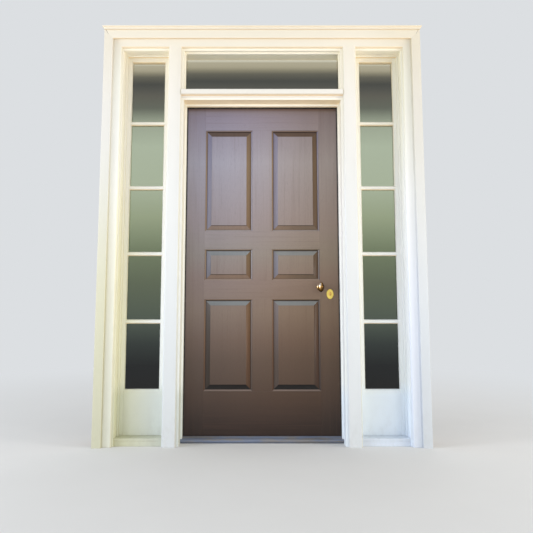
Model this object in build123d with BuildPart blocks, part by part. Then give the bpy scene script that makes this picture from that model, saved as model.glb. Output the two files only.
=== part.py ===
from build123d import *
import os

os.makedirs("parts", exist_ok=True)

# A six panel front door hung in its own frame, with a sidelight on each side and a transom light
# above. Millimetres, +Z up, +Y into the house, +X to the right seen from outside. The origin is
# the middle of the threshold's underside, in the plane of the leaf's outside face.

# Leaf
leaf_width = 965.0
leaf_height = 2032.0
leaf_thickness = 44.5
leaf_gap = 3.0
leaf_bottom = 36.0
leaf_half = leaf_width / 2
leaf_top = leaf_bottom + leaf_height

# Frame timbers, from the doorway outwards
door_jamb_face = leaf_half + leaf_gap
door_jamb_thickness = 32.0
mull_width = 98.0
sidelight_width = 279.5
jamb_thickness = 19.0
door_jamb_back = door_jamb_face + door_jamb_thickness
mull_face = door_jamb_face + mull_width
outer_jamb_face = mull_face + sidelight_width
outer_jamb_back = outer_jamb_face + jamb_thickness
frame_depth = 166.7
frame_back = leaf_thickness
frame_front = frame_back - frame_depth

# Transom bar over the leaf; the light above it sets the height of the head
transom_rail_bottom = leaf_top + leaf_gap
transom_rail_thickness = 30.5
transom_sill_bottom = transom_rail_bottom + transom_rail_thickness
transom_sill_thickness = 38.5
transom_sill_top = transom_sill_bottom + transom_sill_thickness
transom_light_height = 248.0
head_underside = transom_sill_top + transom_light_height
head_top = head_underside + jamb_thickness

# Casing on the outside face, two flat bands and a drip cap
casing_thickness = 19.0
casing_face = frame_front - casing_thickness
casing_bevel = 5.5
casing_side_reveal = 8.0
casing_head_reveal = 13.5
inner_band = 48.0
outer_band = 55.0
backband_proud = 18.0
backband_round = 3.0
backband_corner = 1.5
backband_face = casing_face - backband_proud
casing_inner = outer_jamb_face + casing_side_reveal
band_step = casing_inner + casing_bevel + inner_band
casing_outer = band_step + outer_band
casing_head_inner = head_underside + casing_head_reveal
band_step_head = casing_head_inner + casing_bevel + inner_band
casing_top = band_step_head + outer_band
post_door_reveal = 13.5
post_light_reveal = 2.5
post_inner = door_jamb_face + post_door_reveal
post_outer = mull_face - post_light_reveal
cap_height = 21.0
cap_projection = 10.0
cap_overhang = 8.8
cap_core_front = backband_face - cap_overhang

# Drip cap profile, each point as (out from its core, up from its foot)
cap_foot = (1.5, 2.5)
cap_cove_middle = (3.3, 8.6)
cap_cove_end = (6.8, 12.4)
cap_nose_bottom = 13.8
cap_nose_ease = 1.0
cap_nose_widest = 17.5
cap_top_ease = 1.5

# Nosing, cove and glazing stops of the transom
nosing_projection = 24.8
nosing_face = frame_front - nosing_projection
nosing_height = 31.1
nosing_setback = 2.0
cove_height = 18.5
cove_projection = 16.0
cove_edge = 2.0
cove_hollow = (4.9, 6.2)
transom_stop_width = 7.5
transom_stop_front = -91.2
transom_glass_front = -71.0
transom_stop_back = -47.0
transom_stop_ease = 1.5
glass_thickness = 4.0
glass_clearance = 1.0

# Doorway stops, seal and threshold
stop_projection = 9.5
head_stop_projection = 14.0
door_stop_front = -30.0
seal_thickness = 6.0
seal_show = 6.5
threshold_front = -41.2
threshold_drip = 12.2
threshold_lip_bottom = 8.0
threshold_lip_top = 20.0
threshold_top = 34.0
threshold_slope_end = -2.0
threshold_back_bevel = 4.0
threshold_round = 3.0
threshold_drip_round = 1.0

# Sidelights
sash_face = -20.2
sash_thickness = 35.0
sash_gap = 1.0
sash_stile = 30.5
sash_top_rail_height = 34.0
sash_top_rail_bottom = head_underside - sash_top_rail_height
sash_rail_top = 306.0
kick_panel_top = 301.0
kick_panel_recess = 2.5
bead_width = 6.0
bead_setback = 2.0
bead_lip = 1.0
glass_front = -10.2
muntin_width = 13.0
lite_count = 5
side_stop_depth = 19.0
base_height = 44.0
base_front = -111.2
base_groove = 30.0
base_groove_depth = 2.0
base_groove_width = 2.0

# Leaf layout: two stiles, a middle stile and four rails; the upper panels take what is left
stile_width = 125.5
middle_stile_width = 118.0
bottom_rail_height = 259.0
lower_panel_height = 553.4
lock_rail_height = 111.9
middle_panel_height = 195.7
upper_rail_height = 108.4
top_rail_height = 158.6
panel_in = middle_stile_width / 2
panel_out = leaf_half - stile_width
lower_panel_bottom = leaf_bottom + bottom_rail_height
lower_panel_top = lower_panel_bottom + lower_panel_height
middle_panel_bottom = lower_panel_top + lock_rail_height
middle_panel_top = middle_panel_bottom + middle_panel_height
panel_rows = {
    "upper": (middle_panel_top + upper_rail_height, leaf_top - top_rail_height),
    "middle": (middle_panel_bottom, middle_panel_top),
    "lower": (lower_panel_bottom, lower_panel_top),
}
sticking_width = 11.0
sticking_quirk = 2.0
sticking_fillet = 1.0
sticking_radius = sticking_width - sticking_fillet
panel_edge_depth = sticking_quirk + sticking_radius
panel_slab = leaf_thickness - 2 * panel_edge_depth
tongue_length = 8.0
tongue_clearance = 0.5
bevel_width = 28.5
bevel_rise = 6.0
field_step = 2.0

# Sweep under the leaf
sweep_end_margin = 12.5
sweep_half = leaf_half - sweep_end_margin
sweep_front = 16.0
sweep_width = 12.0
sweep_groove = 3.0
sweep_drop = 1.4

# Hinges
hinge_height = 101.6
hinge_plate = 2.5
hinge_plate_width = 32.0
hinge_radius = 6.0
hinge_pin_radius = 3.0
pin_fit = 0.05
hinge_pin_head = 4.5
hinge_head_height = 2.0
knuckles = 5
knuckle_gap = 0.4
hinge_axis_x = -(leaf_half + leaf_gap / 2)
hinge_projection = 6.5
hinge_axis_y = leaf_thickness + hinge_projection
hinge_top_margin = 180.0
hinge_bottom_margin = 250.0
hinge_high = leaf_top - hinge_top_margin - hinge_height / 2
hinge_low = leaf_bottom + hinge_bottom_margin + hinge_height / 2
hinge_centres = (hinge_low, (hinge_low + hinge_high) / 2, hinge_high)

# Lock: knob well in from the edge, keyhole near it and lower
leaf_middle = leaf_thickness / 2
knob_backset = 124.0
knob_x = leaf_half - knob_backset
knob_z = 920.5
key_backset = 65.5
key_x = leaf_half - key_backset
key_z = 878.0
running_gap = 0.35
case_depth = 144.0
case_half_thickness = 8.0
case_bottom = 856.0
case_top = 944.0
forend_thickness = 2.5
case_inner = leaf_half - forend_thickness - case_depth
forend_half_width = 11.0
forend_margin = 10.0
bolt_half_thickness = 6.0
latch_half_height = 9.0
latch_length = 52.0
latch_travel = 12.0
latch_bevel = 8.0
latch_nose = 2.0
dead_half_height = 10.0
dead_length = 50.0
dead_travel = 20.0
bolt_setback = 0.2
bolt_gap = 0.3
strike_thickness = 2.0
strike_front = 9.0
strike_bottom = 845.0
strike_top = 955.0
pocket_gap = 0.8
pocket_spare = 2.5
spindle_side = 8.0
spindle_bore = 6.2
spindle_reach = 24.0
rose_radius = 23.25
rose_height = 7.0
rose_rim = 1.5
rose_swell = (20.2, 5.0)
rose_flat = 14.5
neck_radius = 8.0
neck_start = 1.0
collar_gap = 0.4
collar_overhang = 3.5
collar_thickness = 2.0
waist_middle = (6.6, 20.0)
waist_end = (10.5, 31.5)
neck_end = 37.0
egg_half_width = 17.75
egg_half_height = 30.5
egg_centre = -46.0
turn_rose_radius = 16.0
turn_rose_height = 5.0
turn_rose_bevel = 1.5
turn_clearance = 1.0
turn_end_gap = 0.5
turn_stem_radius = 5.0
turn_grip_length = 26.0
turn_grip_thickness = 6.0
turn_grip_depth = 13.0
turn_grip_round = 1.2
turn_stem_start = 24.0
plate_half_width = 21.5
plate_half_height = 31.5
plate_thickness = 2.5
plate_edge = 1.2
keyhole_radius = 4.0
keyhole_slot = 4.8
keyhole_drop = 11.0
keyhole_depth = 4.0
pivot_rise = 16.0
pivot_radius = 2.0
pivot_head_radius = 3.5
pivot_head_height = 1.2
cover_gap = 0.4
cover_thickness = 1.6
cover_drop = 17.0
cover_radius = 8.0
cover_eye_radius = 4.5
cover_boss_radius = 2.5
cover_boss_height = 1.0


def board(x, y, z):
    """Plain rectangular timber between a low and a high limit along each axis."""
    with BuildPart() as plank:
        with BuildSketch(Plane.XY.offset(z[0])):
            with Locations(((x[0] + x[1]) / 2, (y[0] + y[1]) / 2)):
                Rectangle(x[1] - x[0], y[1] - y[0])
        extrude(amount=z[1] - z[0])
    return plank.part


def section(*points):
    """Closed face from corner points, as (across, deep) in the plane it is later placed on."""
    with BuildSketch() as outline:
        with BuildLine():
            Polyline(*points, close=True)
        make_face()
    return outline.sketch


def moulding(profile, plane, length, outline):
    """Bar of one section along a plane's normal, its ends cut to an outline seen from the front."""
    with BuildPart() as bar:
        with BuildSketch(plane):
            add(profile)
        extrude(amount=length)
        with BuildSketch(Plane.XZ):
            with BuildLine():
                Polyline(*outline, close=True)
            make_face()
        extrude(amount=2 * frame_depth, both=True, mode=Mode.INTERSECT)
    return bar.part


def opening_strip(profile, reach, x, z, side):
    """One side of a moulding mitred round the opening x by z, its section measured inwards."""
    (x0, x1), (z0, z1) = x, z
    start, inward, run, length, outline = {
        "left": ((x0, 0, z0), (1, 0, 0), (0, 0, 1), z1 - z0,
                 ((x0, z0), (x0 + reach, z0 + reach), (x0 + reach, z1 - reach), (x0, z1))),
        "right": ((x1, 0, z1), (-1, 0, 0), (0, 0, -1), z1 - z0,
                  ((x1, z0), (x1 - reach, z0 + reach), (x1 - reach, z1 - reach), (x1, z1))),
        "bottom": ((x1, 0, z0), (0, 0, 1), (-1, 0, 0), x1 - x0,
                   ((x0, z0), (x0 + reach, z0 + reach), (x1 - reach, z0 + reach), (x1, z0))),
        "top": ((x0, 0, z1), (0, 0, -1), (1, 0, 0), x1 - x0,
                ((x0, z1), (x0 + reach, z1 - reach), (x1 - reach, z1 - reach), (x1, z1))),
    }[side]
    return moulding(profile, Plane(origin=start, x_dir=inward, z_dir=run), length, outline)


def frustum(x, z, grow, y_narrow, y_wide):
    """Cutter that widens by the same amount all round between two depths."""
    with BuildPart() as cutter:
        for depth, extra in ((y_narrow, 0.0), (y_wide, grow)):
            with BuildSketch(Plane.XZ.offset(-depth)):
                with Locations(((x[0] + x[1]) / 2, (z[0] + z[1]) / 2)):
                    Rectangle(x[1] - x[0] + 2 * extra, z[1] - z[0] + 2 * extra)
        loft()
    return cutter.part


def mirrored(piece):
    """The same piece on the other side of the doorway."""
    with BuildPart() as other:
        add(piece)
        mirror(about=Plane.YZ, mode=Mode.REPLACE)
    return other.part


# Bevels round the three bays of the casing: the doorway with its transom, and each sidelight
below_floor = -100.0
bay_height = (below_floor, casing_head_inner)
bevel_depths = (casing_face + casing_bevel, casing_face)
centre_bay = frustum((-post_inner, post_inner), bay_height, casing_bevel, *bevel_depths)
right_bay = frustum((post_outer, casing_inner), bay_height, casing_bevel, *bevel_depths)
left_bay = mirrored(right_bay)

casing_depth = (casing_face, frame_front)
corner_line = ((casing_inner, casing_head_inner), (band_step, band_step_head))

with BuildPart() as casing_right:
    with BuildSketch(Plane.XZ.offset(-frame_front)):
        with BuildLine():
            Polyline((casing_inner, 0), (band_step, 0), corner_line[1], corner_line[0], close=True)
        make_face()
    extrude(amount=casing_thickness)
    add(right_bay, mode=Mode.SUBTRACT)

with BuildPart() as casing_left:
    add(casing_right.part)
    mirror(about=Plane.YZ, mode=Mode.REPLACE)

with BuildPart() as casing_head:
    with BuildSketch(Plane.XZ.offset(-frame_front)):
        with BuildLine():
            Polyline(
                (-corner_line[0][0], corner_line[0][1]),
                corner_line[0],
                corner_line[1],
                (-corner_line[1][0], corner_line[1][1]),
                close=True,
            )
        make_face()
    extrude(amount=casing_thickness)
    for bay in (centre_bay, right_bay, left_bay):
        add(bay, mode=Mode.SUBTRACT)

with BuildPart() as post_right:
    add(board((post_inner, post_outer), casing_depth, (0, casing_head_inner)))
    for bay in (centre_bay, right_bay):
        add(bay, mode=Mode.SUBTRACT)

with BuildPart() as post_left:
    add(post_right.part)
    mirror(about=Plane.YZ, mode=Mode.REPLACE)

# Outer band, rounded where it steps down to the inner one and eased on its outside corner
with BuildSketch() as backband_section:
    with BuildLine():
        FilletPolyline(
            (0, frame_front),
            (0, backband_face),
            (outer_band, backband_face),
            (outer_band, frame_front),
            radius=(backband_round, backband_corner),
        )
        Line((outer_band, frame_front), (0, frame_front))
    make_face()

with BuildPart() as backband_right:
    add(
        moulding(
            backband_section.sketch,
            Plane(origin=(band_step, 0, 0), x_dir=(1, 0, 0), z_dir=(0, 0, 1)),
            casing_top,
            ((band_step, 0), (casing_outer, 0), (casing_outer, casing_top), (band_step, band_step_head)),
        )
    )

with BuildPart() as backband_left:
    add(backband_right.part)
    mirror(about=Plane.YZ, mode=Mode.REPLACE)

with BuildPart() as backband_head:
    add(
        moulding(
            backband_section.sketch,
            Plane(origin=(casing_outer, 0, band_step_head), x_dir=(0, 0, 1), z_dir=(-1, 0, 0)),
            2 * casing_outer,
            (
                (-band_step, band_step_head),
                (band_step, band_step_head),
                (casing_outer, casing_top),
                (-casing_outer, casing_top),
            ),
        )
    )

# Drip cap: its moulded edge turns the corner and returns to the wall at both ends
with BuildPart() as drip_cap:
    with BuildLine() as cap_path:
        Polyline(
            (-casing_outer, frame_front, casing_top),
            (-casing_outer, cap_core_front, casing_top),
            (casing_outer, cap_core_front, casing_top),
            (casing_outer, frame_front, casing_top),
        )
    with BuildSketch(
        Plane(origin=(-casing_outer, frame_front, casing_top), x_dir=(-1, 0, 0), z_dir=(0, 1, 0))
    ):
        with BuildLine():
            foot = Polyline((0, 0), (cap_foot[0], 0), cap_foot)
            cove_curve = ThreePointArc(foot @ 1, cap_cove_middle, cap_cove_end)
            under_nose = Polyline(
                cove_curve @ 1,
                (cap_cove_end[0], cap_nose_bottom),
                (cap_projection - cap_nose_ease, cap_nose_bottom),
            )
            nose_curve = ThreePointArc(
                under_nose @ 1,
                (cap_projection, cap_nose_widest),
                (cap_projection - cap_top_ease, cap_height),
            )
            Polyline(nose_curve @ 1, (0, cap_height), (0, 0))
        make_face()
    sweep(path=cap_path.wires()[0], transition=Transition.RIGHT)
    add(
        board(
            (-casing_outer, casing_outer),
            (cap_core_front, frame_front),
            (casing_top, casing_top + cap_height),
        )
    )

# Jambs
jamb_depth = (frame_front, frame_back)

with BuildPart() as jamb_head:
    add(board((-outer_jamb_back, outer_jamb_back), jamb_depth, (head_underside, head_top)))

with BuildPart() as jamb_right:
    add(board((outer_jamb_face, outer_jamb_back), jamb_depth, (0, head_underside)))

with BuildPart() as jamb_left:
    add(jamb_right.part)
    mirror(about=Plane.YZ, mode=Mode.REPLACE)

with BuildPart() as mull_posts:
    add(board((door_jamb_back, mull_face), jamb_depth, (0, head_underside)))
    mirror(about=Plane.YZ)

# Jamb on the hinge side, let in for three hinge plates
hinge_plate_start = frame_back - hinge_plate_width

with BuildPart() as door_jamb_hinge:
    add(board((-door_jamb_back, -door_jamb_face), jamb_depth, (0, head_underside)))
    for centre in hinge_centres:
        add(
            board(
                (-door_jamb_face - hinge_plate, -door_jamb_face),
                (hinge_plate_start, frame_back),
                (centre - hinge_height / 2, centre + hinge_height / 2),
            ),
            mode=Mode.SUBTRACT,
        )

# Jamb on the lock side: plain above and below the length that is let in for the strike, with a
# pocket for each bolt behind it
latch_pocket = (
    (door_jamb_face, leaf_half + latch_travel + pocket_spare),
    (leaf_middle - bolt_half_thickness - pocket_gap, leaf_middle + bolt_half_thickness + pocket_gap),
    (knob_z - latch_half_height - pocket_gap, knob_z + latch_half_height + pocket_gap),
)
dead_pocket = (
    (door_jamb_face, leaf_half + dead_travel + pocket_spare),
    latch_pocket[1],
    (key_z - dead_half_height - pocket_gap, key_z + dead_half_height + pocket_gap),
)
strike_space = (
    (door_jamb_face, door_jamb_face + strike_thickness),
    (strike_front, frame_back),
    (strike_bottom, strike_top),
)

with BuildPart() as door_jamb_lock:
    for span in ((0, strike_bottom), (strike_top, head_underside)):
        add(board((door_jamb_face, door_jamb_back), jamb_depth, span))

with BuildPart() as door_jamb_strike:
    add(board((door_jamb_face, door_jamb_back), jamb_depth, (strike_bottom, strike_top)))
    for space in (strike_space, latch_pocket, dead_pocket):
        add(board(*space), mode=Mode.SUBTRACT)

with BuildPart() as strike_plate:
    add(board(*strike_space))
    for space in (latch_pocket, dead_pocket):
        add(board(*space), mode=Mode.SUBTRACT)

# Transom bar: rail over the leaf, sill with a nosing between the posts, cove under the nosing
door_bay = (-door_jamb_face, door_jamb_face)

with BuildPart() as transom_rail:
    add(board(door_bay, jamb_depth, (transom_rail_bottom, transom_sill_bottom)))

with BuildPart() as transom_sill:
    with BuildSketch(Plane.YZ.offset(-post_inner)):
        with BuildLine():
            Polyline(
                (frame_back, transom_sill_bottom),
                (nosing_face, transom_sill_bottom),
                (nosing_face, transom_sill_bottom + nosing_height / 2),
                (nosing_face + nosing_setback, transom_sill_bottom + nosing_height),
                (transom_stop_front, transom_sill_top),
                (frame_back, transom_sill_top),
                close=True,
            )
        make_face()
    extrude(amount=2 * post_inner)
    for sign in (-1, 1):
        x_limits = sorted((sign * door_jamb_face, sign * post_outer))
        add(board(x_limits, jamb_depth, (transom_rail_bottom, head_underside)), mode=Mode.SUBTRACT)

with BuildPart() as transom_cove:
    with BuildSketch(Plane.YZ.offset(-post_inner)):
        with BuildLine():
            heel = (frame_front - cove_edge, transom_sill_bottom - cove_height)
            lip = (frame_front - cove_projection, transom_sill_bottom - cove_edge)
            hollow = (frame_front - cove_hollow[0], transom_sill_bottom - cove_hollow[1])
            Polyline(
                lip,
                (frame_front - cove_projection, transom_sill_bottom),
                (frame_front, transom_sill_bottom),
                (frame_front, transom_sill_bottom - cove_height),
                heel,
            )
            ThreePointArc(heel, hollow, lip)
        make_face()
    extrude(amount=2 * post_inner)

# Transom glass between an outer and an inner ring of mitred stops
transom_opening = (door_bay, (transom_sill_top, head_underside))
outer_stop_section = section(
    (0, transom_stop_front),
    (transom_stop_width - transom_stop_ease, transom_stop_front),
    (transom_stop_width, transom_stop_front + transom_stop_ease),
    (transom_stop_width, transom_glass_front),
    (0, transom_glass_front),
)
inner_stop_section = section(
    (0, transom_glass_front + glass_thickness),
    (transom_stop_width, transom_glass_front + glass_thickness),
    (transom_stop_width, transom_stop_back),
    (0, transom_stop_back),
)
ring_sides = ("left", "right", "bottom", "top")

with BuildPart() as transom_stops:
    for ring in (outer_stop_section, inner_stop_section):
        for side in ring_sides:
            add(opening_strip(ring, transom_stop_width, *transom_opening, side))

with BuildPart() as transom_glass:
    add(
        board(
            (glass_clearance - door_jamb_face, door_jamb_face - glass_clearance),
            (transom_glass_front, transom_glass_front + glass_thickness),
            (transom_sill_top + glass_clearance, head_underside - glass_clearance),
        )
    )

# Threshold: drip nose in front, a weathered slope up to the leaf, flat under it
with BuildPart() as threshold:
    with BuildSketch(Plane.YZ.offset(-door_jamb_face)):
        with BuildLine():
            FilletPolyline(
                (threshold_front + threshold_drip, 0),
                (threshold_front + threshold_drip, threshold_lip_bottom),
                (threshold_front, threshold_lip_bottom),
                (threshold_front, threshold_lip_top),
                (threshold_slope_end, threshold_top),
                (frame_back - threshold_back_bevel, threshold_top),
                (frame_back, threshold_top - threshold_back_bevel),
                (frame_back, 0),
                radius=(0, threshold_drip_round, threshold_round, 0, 0, 0),
            )
            Line((frame_back, 0), (threshold_front + threshold_drip, 0))
        make_face()
    extrude(amount=2 * door_jamb_face)

# Stops in the doorway, scribed over the threshold's slope, with a seal behind them
slope = (threshold_top - threshold_lip_top) / (threshold_slope_end - threshold_front)
seal_front = -seal_thickness
stop_foot = [
    threshold_lip_top + slope * (y - threshold_front) for y in (door_stop_front, seal_front)
]
head_stop_bottom = transom_rail_bottom - head_stop_projection

with BuildPart() as door_stops:
    with BuildSketch(Plane.YZ.offset(door_jamb_face - stop_projection)):
        with BuildLine():
            Polyline(
                (door_stop_front, stop_foot[0]),
                (seal_front, stop_foot[1]),
                (seal_front, head_stop_bottom),
                (door_stop_front, head_stop_bottom),
                close=True,
            )
        make_face()
    extrude(amount=stop_projection)
    mirror(about=Plane.YZ)

with BuildPart() as door_stop_head:
    add(board(door_bay, (door_stop_front, seal_front), (head_stop_bottom, transom_rail_bottom)))

seal_inner = door_jamb_face - stop_projection - seal_show

with BuildPart() as door_seal:
    add(board((seal_inner, door_jamb_face), (seal_front, 0), (threshold_top, transom_rail_bottom)))
    mirror(about=Plane.YZ)
    add(
        board(
            (-seal_inner, seal_inner),
            (seal_front, 0),
            (head_stop_bottom - seal_show, transom_rail_bottom),
        )
    )

# Sidelight bases, with a shallow groove along the front
with BuildPart() as sidelight_bases:
    add(board((mull_face, outer_jamb_face), (base_front, frame_back), (0, base_height)))
    add(
        board(
            (mull_face, outer_jamb_face),
            (base_front, base_front + base_groove_depth),
            (base_groove - base_groove_width / 2, base_groove + base_groove_width / 2),
        ),
        mode=Mode.SUBTRACT,
    )
    mirror(about=Plane.YZ)

# Sidelight stops
side_stop = (sash_face - side_stop_depth, sash_face)
side_stop_top = head_underside - stop_projection

with BuildPart() as sidelight_stops:
    for wall, inner in (
        (mull_face, mull_face + stop_projection),
        (outer_jamb_face, outer_jamb_face - stop_projection),
    ):
        add(board(sorted((wall, inner)), side_stop, (base_height, side_stop_top)))
    mirror(about=Plane.YZ)

with BuildPart() as sidelight_stop_heads:
    add(board((mull_face, outer_jamb_face), side_stop, (side_stop_top, head_underside)))
    mirror(about=Plane.YZ)

# Sidelight sash: a rebate behind each bead holds the glass
sash_x = (mull_face + sash_gap, outer_jamb_face - sash_gap)
sash_z = (base_height, head_underside - sash_gap)
rebate_front = glass_front + glass_thickness
sash_back = sash_face + sash_thickness
front_layer = (sash_face, rebate_front)
back_layer = (rebate_front, sash_back)
light_x = (sash_x[0] + sash_stile, sash_x[1] - sash_stile)
clear_x = (light_x[0] + bead_width, light_x[1] - bead_width)
light_height = sash_top_rail_bottom - sash_rail_top
muntin_pitch = (light_height + muntin_width) / lite_count
muntin_half = muntin_width / 2
division_centres = [
    sash_rail_top - muntin_half + step * muntin_pitch for step in range(lite_count + 1)
]
muntin_centres = division_centres[1:-1]
lights = [
    (low + muntin_half, high - muntin_half)
    for low, high in zip(division_centres[:-1], division_centres[1:])
]


def sash_stiles():
    """Both stiles of the right sash, with the rebate's lip behind the glass."""
    with BuildPart() as pair:
        for edge, light, clear in zip(sash_x, light_x, clear_x):
            add(board(sorted((edge, light)), front_layer, sash_z))
            add(board(sorted((edge, clear)), back_layer, sash_z))
    return pair.part


with BuildPart() as sidelight_stiles_right:
    add(sash_stiles())

with BuildPart() as sidelight_stiles_left:
    add(sidelight_stiles_right.part)
    mirror(about=Plane.YZ, mode=Mode.REPLACE)

with BuildPart() as sidelight_rails:
    add(board(light_x, front_layer, (sash_top_rail_bottom, sash_z[1])))
    add(board(clear_x, back_layer, (sash_top_rail_bottom - bead_width, sash_z[1])))
    add(board(light_x, front_layer, (base_height, sash_rail_top)))
    add(board(clear_x, back_layer, (base_height, sash_rail_top + bead_width)))
    add(
        board(light_x, (sash_face, sash_face + kick_panel_recess), (base_height, kick_panel_top)),
        mode=Mode.SUBTRACT,
    )
    mirror(about=Plane.YZ)

with BuildPart() as sidelight_muntins:
    for centre in muntin_centres:
        lip_half = muntin_half + bead_width
        add(board(light_x, front_layer, (centre - muntin_half, centre + muntin_half)))
        add(board(clear_x, back_layer, (centre - lip_half, centre + lip_half)))
    mirror(about=Plane.YZ)

bead_section = section(
    (0, sash_face + bead_setback),
    (bead_width / 3, sash_face + bead_setback),
    (bead_width, glass_front - bead_lip),
    (bead_width, glass_front),
    (0, glass_front),
)

with BuildPart() as sidelight_beads:
    for light in lights:
        for side in ring_sides:
            add(opening_strip(bead_section, bead_width, light_x, light, side))
    mirror(about=Plane.YZ)

with BuildPart() as sidelight_glass_right:
    for light in lights:
        add(
            board(
                (light_x[0] + glass_clearance, light_x[1] - glass_clearance),
                (glass_front, rebate_front),
                (light[0] + glass_clearance, light[1] - glass_clearance),
            )
        )

with BuildPart() as sidelight_glass_left:
    add(sidelight_glass_right.part)
    mirror(about=Plane.YZ, mode=Mode.REPLACE)

# Sticking run on the leaf's stiles and rails: a quirk and an ovolo outside, square inside,
# with the groove that takes the panel's tongue
with BuildSketch() as sticking:
    with BuildLine():
        groove_end = sticking_width - tongue_length
        inner_groove = panel_edge_depth + panel_slab
        lead = Line((0, sticking_quirk), (sticking_fillet, sticking_quirk))
        swell = sticking_radius * (1 - 0.5**0.5)
        ovolo = ThreePointArc(
            lead @ 1,
            (sticking_width - swell, sticking_quirk + swell),
            (sticking_width, panel_edge_depth),
        )
        Polyline(
            ovolo @ 1,
            (groove_end, panel_edge_depth),
            (groove_end, inner_groove),
            (sticking_width, inner_groove),
            (sticking_width, leaf_thickness),
            (0, leaf_thickness),
            (0, sticking_quirk),
        )
    make_face()

leaf_columns = {"left": (-panel_out, -panel_in), "right": (panel_in, panel_out)}
leaf_depth = (0, leaf_thickness)
leaf_span = (leaf_bottom, leaf_top)


def sticking_strip(row, column, side):
    """The sticking along one side of one panel opening."""
    return opening_strip(sticking.sketch, sticking_width, leaf_columns[column], panel_rows[row], side)


# Spaces cut through the leaf for the sweep, hinges and lock
sweep_space = (
    (-sweep_half, sweep_half),
    (sweep_front, sweep_front + sweep_width),
    (leaf_bottom, leaf_bottom + sweep_groove),
)
case_space = (
    (case_inner, leaf_half - forend_thickness),
    (leaf_middle - case_half_thickness, leaf_middle + case_half_thickness),
    (case_bottom, case_top),
)
forend_space = (
    (leaf_half - forend_thickness, leaf_half),
    (leaf_middle - forend_half_width, leaf_middle + forend_half_width),
    (case_bottom - forend_margin, case_top + forend_margin),
)
knob_axis = Axis((knob_x, 0, knob_z), (0, 1, 0))
key_axis = Axis((key_x, 0, key_z), (0, 1, 0))


def cross_bore(x, z, radius, y_low, y_high):
    """Round hole straight through the leaf's thickness between two depths."""
    with BuildPart() as bore:
        with BuildSketch(Plane.XZ.offset(-y_low)):
            with Locations((x, z)):
                Circle(radius)
        extrude(amount=-(y_high - y_low))
    return bore.part


def keyhole(y_low, y_high):
    """Round eye with a slot hanging from it, for the key."""
    with BuildPart() as hole:
        with BuildSketch(Plane.XZ.offset(-y_low)):
            with Locations((key_x, key_z)):
                Circle(keyhole_radius)
            with Locations((key_x, key_z - keyhole_drop / 2)):
                Rectangle(keyhole_slot, keyhole_drop)
        extrude(amount=-(y_high - y_low))
    return hole.part


with BuildPart() as hinge_stile:
    add(board((-leaf_half, -panel_out), leaf_depth, leaf_span))
    for row in panel_rows:
        add(sticking_strip(row, "left", "left"))
    for centre in hinge_centres:
        add(
            board(
                (-leaf_half, -leaf_half + hinge_plate),
                (hinge_plate_start, leaf_thickness),
                (centre - hinge_height / 2, centre + hinge_height / 2),
            ),
            mode=Mode.SUBTRACT,
        )
    add(board(*sweep_space), mode=Mode.SUBTRACT)

with BuildPart() as lock_stile:
    add(board((panel_out, leaf_half), leaf_depth, leaf_span))
    for row in panel_rows:
        add(sticking_strip(row, "right", "right"))
    for space in (sweep_space, case_space, forend_space):
        add(board(*space), mode=Mode.SUBTRACT)
    add(cross_bore(knob_x, knob_z, spindle_bore, *leaf_depth), mode=Mode.SUBTRACT)
    add(keyhole(0, leaf_middle), mode=Mode.SUBTRACT)
    add(
        cross_bore(key_x, key_z, turn_stem_radius + running_gap, leaf_middle, leaf_thickness),
        mode=Mode.SUBTRACT,
    )

with BuildPart() as mullions:
    for row, span in panel_rows.items():
        add(board((-panel_in, panel_in), leaf_depth, span))
        add(sticking_strip(row, "left", "right"))
        add(sticking_strip(row, "right", "left"))

with BuildPart() as top_rail:
    add(board((-panel_out, panel_out), leaf_depth, (panel_rows["upper"][1], leaf_top)))
    for column in leaf_columns:
        add(sticking_strip("upper", column, "top"))

with BuildPart() as upper_rail:
    add(board((-panel_out, panel_out), leaf_depth, (panel_rows["middle"][1], panel_rows["upper"][0])))
    for column in leaf_columns:
        add(sticking_strip("upper", column, "bottom"))
        add(sticking_strip("middle", column, "top"))

with BuildPart() as lock_rail:
    add(board((-panel_out, panel_out), leaf_depth, (panel_rows["lower"][1], panel_rows["middle"][0])))
    for column in leaf_columns:
        add(sticking_strip("middle", column, "bottom"))
        add(sticking_strip("lower", column, "top"))
    add(board(*case_space), mode=Mode.SUBTRACT)
    add(cross_bore(knob_x, knob_z, spindle_bore, *leaf_depth), mode=Mode.SUBTRACT)

with BuildPart() as bottom_rail:
    add(board((-panel_out, panel_out), leaf_depth, (leaf_bottom, panel_rows["lower"][0])))
    for column in leaf_columns:
        add(sticking_strip("lower", column, "bottom"))
    add(board(*sweep_space), mode=Mode.SUBTRACT)


def raised_panels(row):
    """A pair of panels: a slab held in the grooves, bevelled up to a raised field outside."""
    low, high = panel_rows[row]
    field_inset = sticking_width + bevel_width
    slab_inset = sticking_width - tongue_length + tongue_clearance
    middle = ((panel_in + panel_out) / 2, (low + high) / 2)
    width = panel_out - panel_in
    height = high - low
    with BuildPart() as pair:
        with BuildSketch(Plane.XZ.offset(-panel_edge_depth)):
            with Locations(middle):
                Rectangle(width - 2 * slab_inset, height - 2 * slab_inset)
        extrude(amount=-panel_slab)
        for depth, inset in (
            (panel_edge_depth, sticking_width),
            (panel_edge_depth - bevel_rise, field_inset),
        ):
            with BuildSketch(Plane.XZ.offset(-depth)):
                with Locations(middle):
                    Rectangle(width - 2 * inset, height - 2 * inset)
        loft()
        with BuildSketch(Plane.XZ.offset(bevel_rise - panel_edge_depth)):
            with Locations(middle):
                Rectangle(width - 2 * field_inset, height - 2 * field_inset)
        extrude(amount=field_step)
        mirror(about=Plane.YZ)
    return pair.part


with BuildPart() as panels_upper:
    add(raised_panels("upper"))

with BuildPart() as panels_middle:
    add(raised_panels("middle"))

with BuildPart() as panels_lower:
    add(raised_panels("lower"))

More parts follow.
